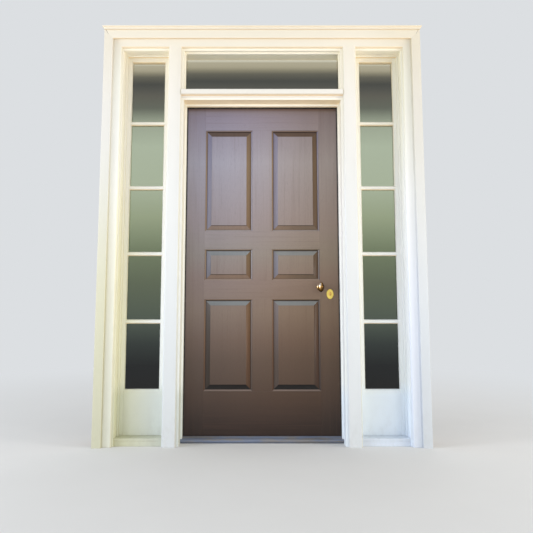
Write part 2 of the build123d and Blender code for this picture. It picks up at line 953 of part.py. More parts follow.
with BuildPart() as door_sweep:
    add(board(sweep_space[0], sweep_space[1], (leaf_bottom - sweep_drop, leaf_bottom + sweep_groove)))


def hinge_leaves(plate_x, own):
    """Three plates with their share of the knuckles, bored for the pin."""
    knuckle = hinge_height / knuckles
    with BuildPart() as leaves:
        for centre in hinge_centres:
            low = centre - hinge_height / 2
            add(board(plate_x, (hinge_plate_start, frame_back), (low, low + hinge_height)))
            for index in own:
                span = (
                    low + index * knuckle + knuckle_gap / 2,
                    low + (index + 1) * knuckle - knuckle_gap / 2,
                )
                add(board(plate_x, (frame_back, hinge_axis_y), span))
                with BuildSketch(Plane.XY.offset(span[0])):
                    with Locations((hinge_axis_x, hinge_axis_y)):
                        Circle(hinge_radius)
                extrude(amount=span[1] - span[0])
            with BuildSketch(Plane.XY.offset(low)):
                with Locations((hinge_axis_x, hinge_axis_y)):
                    Circle(hinge_pin_radius + pin_fit)
            extrude(amount=hinge_height, mode=Mode.SUBTRACT)
    return leaves.part


with BuildPart() as hinge_leaves_frame:
    add(hinge_leaves((-door_jamb_face - hinge_plate, -door_jamb_face), (0, 2, 4)))

with BuildPart() as hinge_leaves_door:
    add(hinge_leaves((-leaf_half, -leaf_half + hinge_plate), (1, 3)))

with BuildPart() as hinge_pins:
    for centre in hinge_centres:
        low = centre - hinge_height / 2
        with BuildSketch(Plane.XY.offset(low)):
            with Locations((hinge_axis_x, hinge_axis_y)):
                Circle(hinge_pin_radius)
        extrude(amount=hinge_height)
        with BuildSketch(Plane.XY.offset(low + hinge_height)):
            with Locations((hinge_axis_x, hinge_axis_y)):
                Circle(hinge_pin_head)
        extrude(amount=hinge_head_height)

# Lock case with its forend, channels for both bolts, and bores for spindle and turn
latch_back = leaf_half - bolt_setback - latch_length
dead_back = leaf_half - bolt_setback - dead_length
channel_y = (
    leaf_middle - bolt_half_thickness - bolt_gap,
    leaf_middle + bolt_half_thickness + bolt_gap,
)
case_back = leaf_middle + case_half_thickness

with BuildPart() as lock_case:
    add(board(*case_space))
    add(board(*forend_space))
    for back, middle, half in (
        (latch_back, knob_z, latch_half_height),
        (dead_back, key_z, dead_half_height),
    ):
        add(
            board(
                (back - bolt_gap, leaf_half),
                channel_y,
                (middle - half - bolt_gap, middle + half + bolt_gap),
            ),
            mode=Mode.SUBTRACT,
        )
    add(cross_bore(knob_x, knob_z, spindle_bore, *leaf_depth), mode=Mode.SUBTRACT)
    add(keyhole(0, leaf_middle - case_half_thickness + keyhole_depth), mode=Mode.SUBTRACT)
    add(
        cross_bore(
            key_x, key_z, turn_stem_radius + running_gap, turn_stem_start - turn_end_gap, case_back
        ),
        mode=Mode.SUBTRACT,
    )

with BuildPart() as latch_bolt:
    with BuildSketch(Plane.XY.offset(knob_z - latch_half_height)):
        with BuildLine():
            nose = leaf_half - bolt_setback
            outer_side = leaf_middle - bolt_half_thickness
            inner_side = leaf_middle + bolt_half_thickness
            Polyline(
                (latch_back, outer_side),
                (nose - latch_bevel, outer_side),
                (nose, inner_side - latch_nose),
                (nose, inner_side),
                (latch_back, inner_side),
                close=True,
            )
        make_face()
    extrude(amount=2 * latch_half_height)

with BuildPart() as dead_bolt:
    add(
        board(
            (dead_back, leaf_half - bolt_setback),
            (outer_side, inner_side),
            (key_z - dead_half_height, key_z + dead_half_height),
        )
    )

# Knobs: an upright egg on a turned neck outside, the same inside
knob_plane = Plane(origin=(knob_x, 0, knob_z), x_dir=(1, 0, 0), z_dir=(0, 0, 1))

with BuildPart() as knob_outside:
    with BuildSketch(knob_plane):
        with BuildLine():
            collar_back = -rose_height - collar_gap
            collar = Polyline(
                (0, -neck_start),
                (neck_radius, -neck_start),
                (neck_radius, collar_back),
                (neck_radius + collar_overhang, collar_back),
                (neck_radius + collar_overhang, collar_back - collar_thickness),
            )
            waist = ThreePointArc(
                collar @ 1, (waist_middle[0], -waist_middle[1]), (waist_end[0], -waist_end[1])
            )
            Polyline(waist @ 1, (waist_end[0], -neck_end), (0, -neck_end), (0, -neck_start))
        make_face()
    revolve(axis=knob_axis)
    ball = Sphere(egg_half_width, mode=Mode.PRIVATE)
    egg = scale(ball, by=(1, 1, egg_half_height / egg_half_width), mode=Mode.PRIVATE)
    add(egg.moved(Location((knob_x, egg_centre, knob_z))))
    with BuildSketch(Plane.XZ.offset(neck_start)):
        with Locations((knob_x, knob_z)):
            Rectangle(spindle_side, spindle_side)
    extrude(amount=spindle_reach - neck_start, mode=Mode.SUBTRACT)

with BuildPart() as knob_inside:
    add(knob_outside.part)
    mirror(about=Plane.XZ.offset(-leaf_middle), mode=Mode.REPLACE)

with BuildPart() as spindle:
    with BuildSketch(Plane.XZ.offset(spindle_reach)):
        with Locations((knob_x, knob_z)):
            Rectangle(spindle_side, spindle_side)
    extrude(amount=-(leaf_thickness + 2 * spindle_reach))

# Roses behind both knobs and the turn
with BuildPart() as roses:
    with BuildSketch(knob_plane):
        with BuildLine():
            rim = Polyline(
                (neck_radius + running_gap, -rose_height),
                (neck_radius + running_gap, 0),
                (rose_radius, 0),
                (rose_radius, -rose_rim),
            )
            dome = ThreePointArc(
                rim @ 1, (rose_swell[0], -rose_swell[1]), (rose_flat, -rose_height)
            )
            Line(dome @ 1, rim @ 0)
        make_face()
    revolve(axis=knob_axis)
    mirror(about=Plane.XZ.offset(-leaf_middle))
    turn_rose_face = leaf_thickness + turn_rose_height
    with BuildSketch(Plane(origin=(key_x, 0, key_z), x_dir=(1, 0, 0), z_dir=(0, 0, 1))):
        with BuildLine():
            Polyline(
                (turn_stem_radius + running_gap, leaf_thickness),
                (turn_rose_radius, leaf_thickness),
                (turn_rose_radius, turn_rose_face - turn_rose_bevel),
                (turn_rose_radius - turn_rose_bevel, turn_rose_face),
                (turn_stem_radius + running_gap, turn_rose_face),
                close=True,
            )
        make_face()
    revolve(axis=key_axis)

with BuildPart() as thumb_turn:
    grip_start = turn_rose_face + turn_clearance
    with BuildSketch(Plane.XZ.offset(-turn_stem_start)):
        with Locations((key_x, key_z)):
            Circle(turn_stem_radius)
    extrude(amount=-(grip_start - turn_stem_start))
    with BuildSketch(Plane.XZ.offset(-grip_start)):
        with Locations((key_x, key_z)):
            SlotOverall(turn_grip_length, turn_grip_thickness, rotation=90)
    extrude(amount=-turn_grip_depth)
    fillet(faces().sort_by(Axis.Y)[-1].edges(), radius=turn_grip_round)

# Oval key plate with the pivot of its drop cover
with BuildPart() as escutcheon:
    with BuildSketch(Plane.XZ):
        with Locations((key_x, key_z)):
            Ellipse(plate_half_width, plate_half_height)
    extrude(amount=plate_thickness)
    fillet(faces().sort_by(Axis.Y)[0].edges(), radius=plate_edge)
    add(keyhole(-plate_thickness, 0), mode=Mode.SUBTRACT)
    pivot_length = cover_gap + cover_thickness + cover_gap
    with BuildSketch(Plane.XZ.offset(plate_thickness)):
        with Locations((key_x, key_z + pivot_rise)):
            Circle(pivot_radius)
    extrude(amount=pivot_length)
    with BuildSketch(Plane.XZ.offset(plate_thickness + pivot_length)):
        with Locations((key_x, key_z + pivot_rise)):
            Circle(pivot_head_radius)
    extrude(amount=pivot_head_height)

with BuildPart() as keyhole_cover:
    with BuildSketch(Plane.XZ.offset(plate_thickness + cover_gap)):
        with Locations((key_x, key_z + pivot_rise)):
            Circle(cover_eye_radius)
        with Locations((key_x, key_z + pivot_rise - cover_drop)):
            Circle(cover_radius)
        make_hull()
        with Locations((key_x, key_z + pivot_rise)):
            Circle(pivot_radius + pin_fit, mode=Mode.SUBTRACT)
    extrude(amount=cover_thickness)
    with BuildSketch(Plane.XZ.offset(plate_thickness + cover_gap + cover_thickness)):
        with Locations((key_x, key_z + pivot_rise - cover_drop)):
            Circle(cover_boss_radius)
    extrude(amount=cover_boss_height)

nodes = {
    "casing_left": casing_left,
    "casing_right": casing_right,
    "casing_head": casing_head,
    "post_left": post_left,
    "post_right": post_right,
    "backband_left": backband_left,
    "backband_right": backband_right,
    "backband_head": backband_head,
    "drip_cap": drip_cap,
    "jamb_head": jamb_head,
    "jamb_left": jamb_left,
    "jamb_right": jamb_right,
    "mull_posts": mull_posts,
    "door_jamb_hinge": door_jamb_hinge,
    "door_jamb_lock": door_jamb_lock,
    "door_jamb_strike": door_jamb_strike,
    "strike_plate": strike_plate,
    "transom_rail": transom_rail,
    "transom_sill": transom_sill,
    "transom_cove": transom_cove,
    "transom_stops": transom_stops,
    "transom_glass": transom_glass,
    "threshold": threshold,
    "door_stops": door_stops,
    "door_stop_head": door_stop_head,
    "door_seal": door_seal,
    "sidelight_bases": sidelight_bases,
    "sidelight_stops": sidelight_stops,
    "sidelight_stop_heads": sidelight_stop_heads,
    "sidelight_stiles_left": sidelight_stiles_left,
    "sidelight_stiles_right": sidelight_stiles_right,
    "sidelight_rails": sidelight_rails,
    "sidelight_muntins": sidelight_muntins,
    "sidelight_beads": sidelight_beads,
    "sidelight_glass_left": sidelight_glass_left,
    "sidelight_glass_right": sidelight_glass_right,
    "hinge_stile": hinge_stile,
    "lock_stile": lock_stile,
    "mullions": mullions,
    "top_rail": top_rail,
    "upper_rail": upper_rail,
    "lock_rail": lock_rail,
    "bottom_rail": bottom_rail,
    "panels_upper": panels_upper,
    "panels_middle": panels_middle,
    "panels_lower": panels_lower,
    "door_sweep": door_sweep,
    "hinge_leaves_frame": hinge_leaves_frame,
    "hinge_leaves_door": hinge_leaves_door,
    "hinge_pins": hinge_pins,
    "lock_case": lock_case,
    "latch_bolt": latch_bolt,
    "dead_bolt": dead_bolt,
    "knob_outside": knob_outside,
    "knob_inside": knob_inside,
    "spindle": spindle,
    "roses": roses,
    "thumb_turn": thumb_turn,
    "escutcheon": escutcheon,
    "keyhole_cover": keyhole_cover,
}
for label, node in nodes.items():
    node.part.label = label
    export_step(node.part, f"parts/{label}.step")
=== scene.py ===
"""Panelled front door in its cased frame: finishes, eased timber edges and turned hardware.

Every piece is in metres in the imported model's own frame: +X right seen from outside, +Y into
the house, +Z up, with the origin under the middle of the threshold.
"""
import logging
import math
from collections.abc import Callable
from dataclasses import dataclass, field
from enum import Enum
from functools import partial, reduce

import bmesh
import bpy
from bmesh.types import BMesh
from bpy.types import Material, Node, NodeSocket, NodeTree, Object
from mathutils import Matrix, Vector


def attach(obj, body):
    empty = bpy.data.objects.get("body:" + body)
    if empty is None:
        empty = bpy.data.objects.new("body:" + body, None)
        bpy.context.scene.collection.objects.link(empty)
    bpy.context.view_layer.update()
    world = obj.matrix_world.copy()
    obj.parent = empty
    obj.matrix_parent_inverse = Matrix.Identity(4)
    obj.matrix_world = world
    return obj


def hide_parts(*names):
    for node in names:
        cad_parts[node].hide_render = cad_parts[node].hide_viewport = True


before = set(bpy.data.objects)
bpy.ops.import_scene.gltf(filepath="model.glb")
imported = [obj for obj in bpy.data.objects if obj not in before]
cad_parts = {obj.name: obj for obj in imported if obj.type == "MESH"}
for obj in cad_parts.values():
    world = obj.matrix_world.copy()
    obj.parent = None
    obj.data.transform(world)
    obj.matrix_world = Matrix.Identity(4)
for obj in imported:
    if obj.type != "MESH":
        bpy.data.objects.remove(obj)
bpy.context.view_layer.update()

log = logging.getLogger("front_door")

Colour = tuple[int, int, int]
Stops = tuple[tuple[float, Colour], ...]
Span = tuple[float, float]
Outline = tuple[tuple[float, float], ...]
Place = tuple[float, float, float]
Chooser = Callable[[Vector, Vector], int]
MM = 0.001
FACING = "facing"
# Painted light by height for the sashes and stops: cool blue-white low down, cream high up.
SASH_STOPS = (
    (0.1, (236, 244, 250)), (0.27, (238, 246, 251)), (0.36, (246, 249, 246)), (0.7, (248, 250, 248)),
    (1.5, (250, 248, 242)), (2.45, (250, 243, 224)),
)
# Painted shade and cool light on the sidelight bases: blue-grey, darker than the sashes above.
BASE_STOPS = ((0.0, (209, 217, 227)), (0.2, (212, 220, 230)))
# A paler copy of the paint for the two outer casing boards: painted light that makes up for the outer
# band's shadow on them.
BOARD_STOPS = (
    (0.0, (220, 225, 232)), (0.7, (232, 235, 241)), (1.5, (245, 245, 243)), (2.2, (236, 234, 222)),
    (2.45, (228, 221, 204)),
)
# Painted shade on the lock stile's left-facing sticking.
STILE_LEFT = ((0.45, (44, 36, 34)), (1.0, (56, 50, 56)), (1.6, (84, 80, 104)))
# Painted sky reflection on the rails' up-facing faces, by height.
RAIL_UP = ((0.3, (178, 162, 154)), (0.9, (160, 146, 130)), (1.05, (176, 154, 134)), (1.2, (150, 150, 150)))
# Painted highlight on the bronze by the way a face looks: palest up and to the left, brown away from it.
BRONZE_PAINTED_HIGHLIGHT = (
    (0.2, (62, 40, 20)), (0.5, (98, 68, 32)), (0.68, (132, 96, 48)), (0.8, (198, 156, 94)),
    (0.9, (228, 198, 150)), (0.97, (240, 240, 248)),
)


class Grain(Enum):
    """Which way a timber's fibres, or the brush marks in its paint, run."""

    UPRIGHT = "upright"
    LEVEL = "level"


class Side(Enum):
    """The two faces of the leaf, as the direction in Y that each one looks."""

    OUTSIDE = -1
    INSIDE = 1


def linear(colour: Colour) -> tuple[float, ...]:
    """Turns a display colour from 0 to 255 into the linear one that a shader takes, fully opaque."""
    shares = (c / 255 for c in colour)
    return (*(s / 12.92 if s <= 0.04045 else ((s + 0.055) / 1.055) ** 2.4 for s in shares), 1.0)


def add(name: str, data: bpy.types.ID) -> Object:
    """Puts a mesh, lamp or camera into the scene.

    Args:
        name: The object's name.
        data: What it shows.

    Returns:
        The object.
    """
    added = bpy.data.objects.new(name, data)
    bpy.context.scene.collection.objects.link(added)
    return added


def to_mesh(name: str, made: BMesh) -> bpy.types.Mesh:
    """Writes a bmesh into a new mesh, and frees it.

    Args:
        name: The mesh's name.
        made: The bmesh.

    Returns:
        The mesh.
    """
    mesh = bpy.data.meshes.new(name)
    made.to_mesh(mesh)
    made.free()
    return mesh


@dataclass
class Graph:
    """Short calls for wiring up one node tree."""

    tree: NodeTree

    def feed(self, node: Node, key: int | str, value: object) -> None:
        """Links a socket to one of a node's inputs, or sets the input to a plain value.

        Args:
            node: The node that takes it.
            key: The input's name or index.
            value: A socket or a plain value.
        """
        if isinstance(value, NodeSocket):
            self.tree.links.new(value, node.inputs[key])
        else:
            node.inputs[key].default_value = value

    def node(self, kind: str, inputs: dict | None = None, **settings: object) -> Node:
        """Adds one node.

        Args:
            kind: The node's type, without the ShaderNode that its name starts with.
            inputs: Input name or index to a socket or a plain value.
            settings: Properties of the node itself.

        Returns:
            The new node.
        """
        made = self.tree.nodes.new(f"ShaderNode{kind}")
        for name, value in settings.items():
            setattr(made, name, value)
        for key, value in (inputs or {}).items():
            self.feed(made, key, value)
        return made

    def math(self, operation: str, *values: object) -> NodeSocket:
        """Adds a Math node on one to three values or sockets, and returns its result."""
        return self.node("Math", dict(enumerate(values)), operation=operation).outputs[0]

    def times(self, *values: object) -> object:
        """Multiplies values or sockets together; the product of none is 1."""
        return reduce(partial(self.math, "MULTIPLY"), values) if values else 1.0

    def mix(self, factor: object, first: object, second: object, blend: str = "MIX") -> NodeSocket:
        """Mixes two colours.

        Args:
            factor: The second one's share.
            first: A socket or a display colour.
            second: The same.
            blend: The way of mixing.

        Returns:
            The mixed colour.
        """
        made = self.node("Mix", {0: factor}, data_type="RGBA", blend_type=blend)
        for index, value in ((6, first), (7, second)):
            self.feed(made, index, linear(value) if isinstance(value, tuple) else value)
        return made.outputs[2]

    def span(self, value: object, *limits: object) -> NodeSocket:
        """Maps a value smoothly between two limits to 0 and 1, or to two more, held at both ends."""
        inputs = dict(enumerate((value, *limits)))
        return self.node("MapRange", inputs, interpolation_type="SMOOTHSTEP").outputs[0]

    def ramp(self, value: NodeSocket, stops: Stops) -> NodeSocket:
        """Colours a value through stops.

        Args:
            value: The socket to look up, in the stops' own units.
            stops: Pairs of a value and the display colour there, lowest first.

        Returns:
            The colour.
        """
        low, high = stops[0][0], stops[-1][0]
        share = self.node("MapRange", {0: value, 1: low, 2: high}).outputs[0]
        made = self.node("ValToRGB", {0: share})
        elements = made.color_ramp.elements
        while len(elements) < len(stops):
            elements.new(0.5)
        for element, (at, colour) in zip(elements, stops):
            element.position = (at - low) / (high - low)
            element.color = linear(colour)
        return made.outputs[0]

    def place(self) -> NodeSocket:
        """The point being shaded, in metres in the model's frame."""
        return self.node("TexCoord").outputs["Object"]

    def facing(self) -> NodeSocket:
        """The way that the shaded face looks, as it was before its edges were eased."""
        return self.node("Attribute", attribute_name=FACING).outputs["Vector"]

    def axes(self, vector: NodeSocket) -> list[NodeSocket]:
        """Splits a vector into its three numbers."""
        return list(self.node("SeparateXYZ", {0: vector}).outputs)

    def vector(self, *numbers: object) -> NodeSocket:
        """Joins up to three numbers into a vector or a grey."""
        return self.node("CombineXYZ", dict(enumerate(numbers))).outputs[0]

    def along(self, grain: Grain) -> NodeSocket:
        """The shaded point turned so that its first number runs with the grain."""
        x, y, z = self.axes(self.place())
        return self.vector(*((z, x, y) if grain is Grain.UPRIGHT else (x, z, y)))

    def noise(self, vector: NodeSocket, stretch: Place, **inputs: float) -> NodeSocket:
        """Noise about 0.5, from its repeats per metre along each axis and the texture's inputs."""
        scaled = self.node("VectorMath", {0: vector, 1: stretch}, operation="MULTIPLY").outputs[0]
        return self.node("TexNoise", {"Vector": scaled, "Scale": 1.0, **inputs}).outputs[0]


class Effects:
    """The shader effects that several finishes share, each built once as a node group."""

    def __init__(self) -> None:
        """Builds every group."""
        kinds = (self.fibre, self.brush, self.soil, self.blotch, self.lean)
        self.trees = {kind.__name__: kind() for kind in kinds}

    def group(self, name: str, **inputs: float | None) -> tuple[Graph, list[NodeSocket]]:
        """Starts a group.

        Args:
            name: The group's name.
            inputs: Input names with their starting values; None makes a vector input.

        Returns:
            The group's graph, and its inputs in order.
        """
        tree = bpy.data.node_groups.new(name, "ShaderNodeTree")
        for label, value in inputs.items():
            kind = "NodeSocketVector" if value is None else "NodeSocketFloat"
            socket = tree.interface.new_socket(name=label, in_out="INPUT", socket_type=kind)
            if value is not None:
                socket.default_value = value
        start = tree.nodes.new("NodeGroupInput")
        return Graph(tree), [start.outputs[label] for label in inputs]

    def close(self, graph: Graph, **results: NodeSocket) -> NodeTree:
        """Ends a group.

        Args:
            graph: The group's graph.
            results: What it puts out, by name.

        Returns:
            The group's tree.
        """
        for label in results:
            graph.tree.interface.new_socket(name=label, in_out="OUTPUT", socket_type="NodeSocketFloat")
        end = graph.tree.nodes.new("NodeGroupOutput")
        for label, socket in results.items():
            graph.feed(end, label, socket)
        return graph.tree

    def fibre(self) -> NodeTree:
        """Timber figure: slow streaks, wandering bands and short open pores."""
        graph, (vector, seed) = self.group("fibre", Vector=None, Seed=0.0)
        shift = graph.vector(seed, seed)
        moved = graph.node("VectorMath", {0: vector, 1: shift}, operation="ADD").outputs[0]
        streak = graph.noise(moved, (1.6, 95.0, 60.0), Detail=5.0, Roughness=0.6, Distortion=0.35)
        band = graph.noise(moved, (0.9, 13.0, 9.0), Detail=3.0, Roughness=0.5, Distortion=1.3)
        fine = graph.noise(moved, (38.0, 1500.0, 1100.0), Detail=1.0, Roughness=0.5)
        return self.close(graph, Streak=streak, Band=band, Pore=graph.span(fine, 0.60, 0.72))

    def brush(self) -> NodeTree:
        """Paint laid off by brush: long fine ridges over a faint orange peel."""
        graph, (vector,) = self.group("brush", Vector=None)
        ridge = graph.noise(vector, (7.0, 900.0, 900.0), Detail=2.0, Roughness=0.5)
        peel = graph.noise(vector, (260.0, 260.0, 260.0), Detail=1.0)
        tone = graph.noise(vector, (1.1, 7.0, 7.0), Detail=4.0, Roughness=0.55)
        return self.close(graph, Ridge=graph.math("MULTIPLY_ADD", peel, 0.35, ridge), Tone=tone)

    def soil(self) -> NodeTree:
        """Dust and splashes that gather towards the floor, up to a given height."""
        graph, (vector, height) = self.group("soil", Vector=None, Height=0.25)
        share = graph.math("DIVIDE", graph.axes(vector)[2], height)
        specks = graph.noise(vector, (28.0, 28.0, 16.0), Detail=8.0, Roughness=0.68)
        mask = graph.times(graph.span(share, 0.0, 1.0, 1.0, 0.0), graph.span(specks, 0.42, 0.66))
        return self.close(graph, Mask=mask)

    def blotch(self) -> NodeTree:
        """Uneven tarnish, handling and fine scratches on metal or rubber."""
        graph, (vector,) = self.group("blotch", Vector=None)
        cloud = graph.noise(vector, (55.0, 55.0, 55.0), Detail=4.0, Roughness=0.6)
        speck = graph.noise(vector, (700.0, 700.0, 700.0), Detail=3.0, Roughness=0.7)
        scratch = graph.noise(vector, (150.0, 150.0, 2600.0), Detail=2.0)
        return self.close(graph, Cloud=cloud, Speck=speck, Scratch=scratch)

    def lean(self) -> NodeTree:
        """Which way a face leans: four masks that rise between a slight slope and a full one, for light and
        shade painted by facing.
        """
        graph, slopes = self.group("lean", Slight=0.3, Full=0.8)
        x, _, z = graph.axes(graph.facing())
        ways = {"Left": (x, -1.0), "Right": (x, 1.0), "Down": (z, -1.0), "Up": (z, 1.0)}
        masks = {label: graph.span(graph.times(*way), *slopes) for label, way in ways.items()}
        return self.close(graph, **masks)


class Coat(Graph):
    """A material in the making: its shader, and a colour that is laid on in layers."""

    def __init__(self, name: str, effects: Effects, **sockets: float) -> None:
        """Makes a material with a Principled BSDF.

        Args:
            name: The material's name.
            effects: The shared node groups.
            sockets: The shader's plain values, by input name with _ for a space.
        """
        self.material = bpy.data.materials.new(name)
        self.material.use_nodes = True
        self.material.node_tree.nodes.clear()
        super().__init__(self.material.node_tree)
        plain = {label.replace("_", " "): value for label, value in sockets.items()}
        self.shader = self.node("BsdfPrincipled", plain)
        self.node("OutputMaterial", {0: self.shader.outputs[0]})
        self.effects = effects
        self.colour: object = None

    def effect(self, name: str, **inputs: object) -> dict[str, NodeSocket]:
        """Places a shared effect with its inputs, and returns its outputs by name."""
        made = self.node("Group", inputs, node_tree=self.effects.trees[name])
        return {socket.name: socket for socket in made.outputs}

    def lay(self, tint: object, *masks: object, blend: str = "MIX") -> None:
        """Lays a colour over the colour so far, by the product of its masks."""
        self.colour = self.mix(self.times(*masks), self.colour, tint, blend)

    def shade(self, tint: object, *masks: object) -> None:
        """Multiplies the colour so far by another one, by the product of its masks."""
        self.lay(tint, *masks, blend="MULTIPLY")

    def close(self, roughness: object, height: object = None, depth: float = 0.0) -> Material:
        """Feeds the shader.

        Args:
            roughness: Socket with the roughness.
            height: Socket with the relief from 0 to 1, if there is one.
            depth: What 1 of relief stands for, in millimetres.

        Returns:
            The finished material.
        """
        self.feed(self.shader, "Base Color", self.colour)
        self.feed(self.shader, "Roughness", roughness)
        if height is not None:
            bump = self.node("Bump", {"Height": height, "Distance": depth * MM, "Strength": 1.0})
            self.feed(self.shader, "Normal", bump.outputs[0])
        return self.material


@dataclass(frozen=True)
class Finish:
    """What every finish has."""

    name: str


@dataclass(frozen=True)
class GlossPaint(Finish):
    """Gloss paint on the frame with painted light: creamy high up, cooler lower down, painted yellowish
    bounce light underneath.
    """

    grain: Grain = Grain.UPRIGHT
    # Painted light: the colour runs from cool low down to cream high up.
    stops: Stops = (
        (0.0, (208, 212, 214)), (0.7, (218, 221, 222)), (1.5, (226, 226, 223)), (2.05, (229, 225, 217)),
        (2.45, (230, 222, 205)),
    )
    # Painted side light: tints by height for faces that lean right and faces that lean left.
    right: Stops = ((0.0, (240, 235, 220)), (1.4, (247, 243, 224)), (2.3, (250, 248, 244)))
    left: Stops = ((0.0, (248, 250, 255)), (1.3, (250, 250, 255)), (2.2, (242, 240, 230)))
    # Painted bounce light from below, laid on faces that look down.
    painted_bounce: Colour = (240, 214, 174)
    # Painted light by side: tints low at the left, low at the right and high at the right, over the outer
    # stretches of X.
    low_left: Colour = (253, 248, 224)
    low_right: Colour = (249, 251, 255)
    high_right: Colour = (248, 247, 243)
    # Painted shadow at the foot of the left side, where given.
    foot_left: Colour | None = None
    low: Span = (2.0, 0.7)
    high: Span = (0.7, 2.0)
    outer: Span = (0.58, 0.9)
    foot: Span = (0.36, 0.27)
    foot_across: Span = (-0.3, -0.4)
    # Below 1, a darker copy of the paint: painted shade.
    level: float = 1.0
    uneven: float = 0.975
    dust: Colour = (150, 141, 126)
    dust_height: float = 0.30
    gap: Colour = (88, 78, 66)
    mitres: tuple[float, float] | None = None

    def build(self, effects: Effects) -> Material:
        """Makes the material.

        Args:
            effects: The shared node groups.

        Returns:
            The material.
        """
        coat = Coat(self.name, effects, IOR=1.46, Specular_IOR_Level=0.45)
        place = coat.place()
        x, _, z = coat.axes(place)
        brush = coat.effect("brush", Vector=coat.along(self.grain))
        # Painted light by height.
        coat.colour = coat.ramp(z, self.stops)
        tone = coat.span(brush["Tone"], 0.3, 0.7, self.uneven * self.level, self.level)
        coat.shade(coat.vector(tone, tone, tone))
        lean = coat.effect("lean")
        # Painted side light on faces that lean left and right.
        coat.shade(coat.ramp(z, self.left), lean["Left"])
        coat.shade(coat.ramp(z, self.right), lean["Right"])
        # Painted light over the outer stretches of X, low and high.
        zones = (
            (self.low, -1, self.low_left), (self.low, 1, self.low_right), (self.high, 1, self.high_right),
        )
        for zone, side, tint in zones:
            coat.shade(tint, coat.span(z, *zone), coat.span(x, *(side * edge for edge in self.outer)))
        # Painted shadow at the foot, on the left.
        if self.foot_left:
            coat.shade(self.foot_left, coat.span(z, *self.foot), coat.span(x, *self.foot_across))
        # Painted bounce light on undersides.
        coat.lay(self.painted_bounce, lean["Down"], 0.7)
        soil = coat.effect("soil", Vector=place, Height=self.dust_height)["Mask"]
        coat.lay(self.dust, soil, 0.10)
        if self.mitres:
            coat.lay(self.gap, self.crack(coat, place))
        roughness = coat.math("MULTIPLY_ADD", soil, 0.3, coat.span(brush["Tone"], 0.3, 0.7, 0.30, 0.40))
        return coat.close(roughness, brush["Ridge"], 0.05)

    def crack(self, coat: Coat, place: NodeSocket) -> NodeSocket:
        """Hairline cracks where the paint has opened at both top mitres.

        Args:
            coat: The material in the making.
            place: The shaded point.

        Returns:
            A mask that is 1 on the cracks.
        """
        half_width, top = self.mitres
        x, _, z = coat.axes(place)
        inward = coat.math("SUBTRACT", half_width, coat.math("ABSOLUTE", x))
        down = coat.math("SUBTRACT", top, z)
        wander = coat.noise(place, (90.0, 90.0, 90.0), Detail=2.0)
        slip = coat.math("MULTIPLY_ADD", wander, 2.4 * MM, -1.2 * MM)
        lean = coat.math("MULTIPLY_ADD", down, 0.55, 9 * MM)
        across = coat.math("ABSOLUTE", coat.math("ADD", coat.math("SUBTRACT", inward, lean), slip))
        line = coat.span(across, 0.5 * MM, 1.3 * MM, 1.0, 0.0)
        return coat.times(line, coat.span(down, 24 * MM, 31 * MM, 1.0, 0.0))


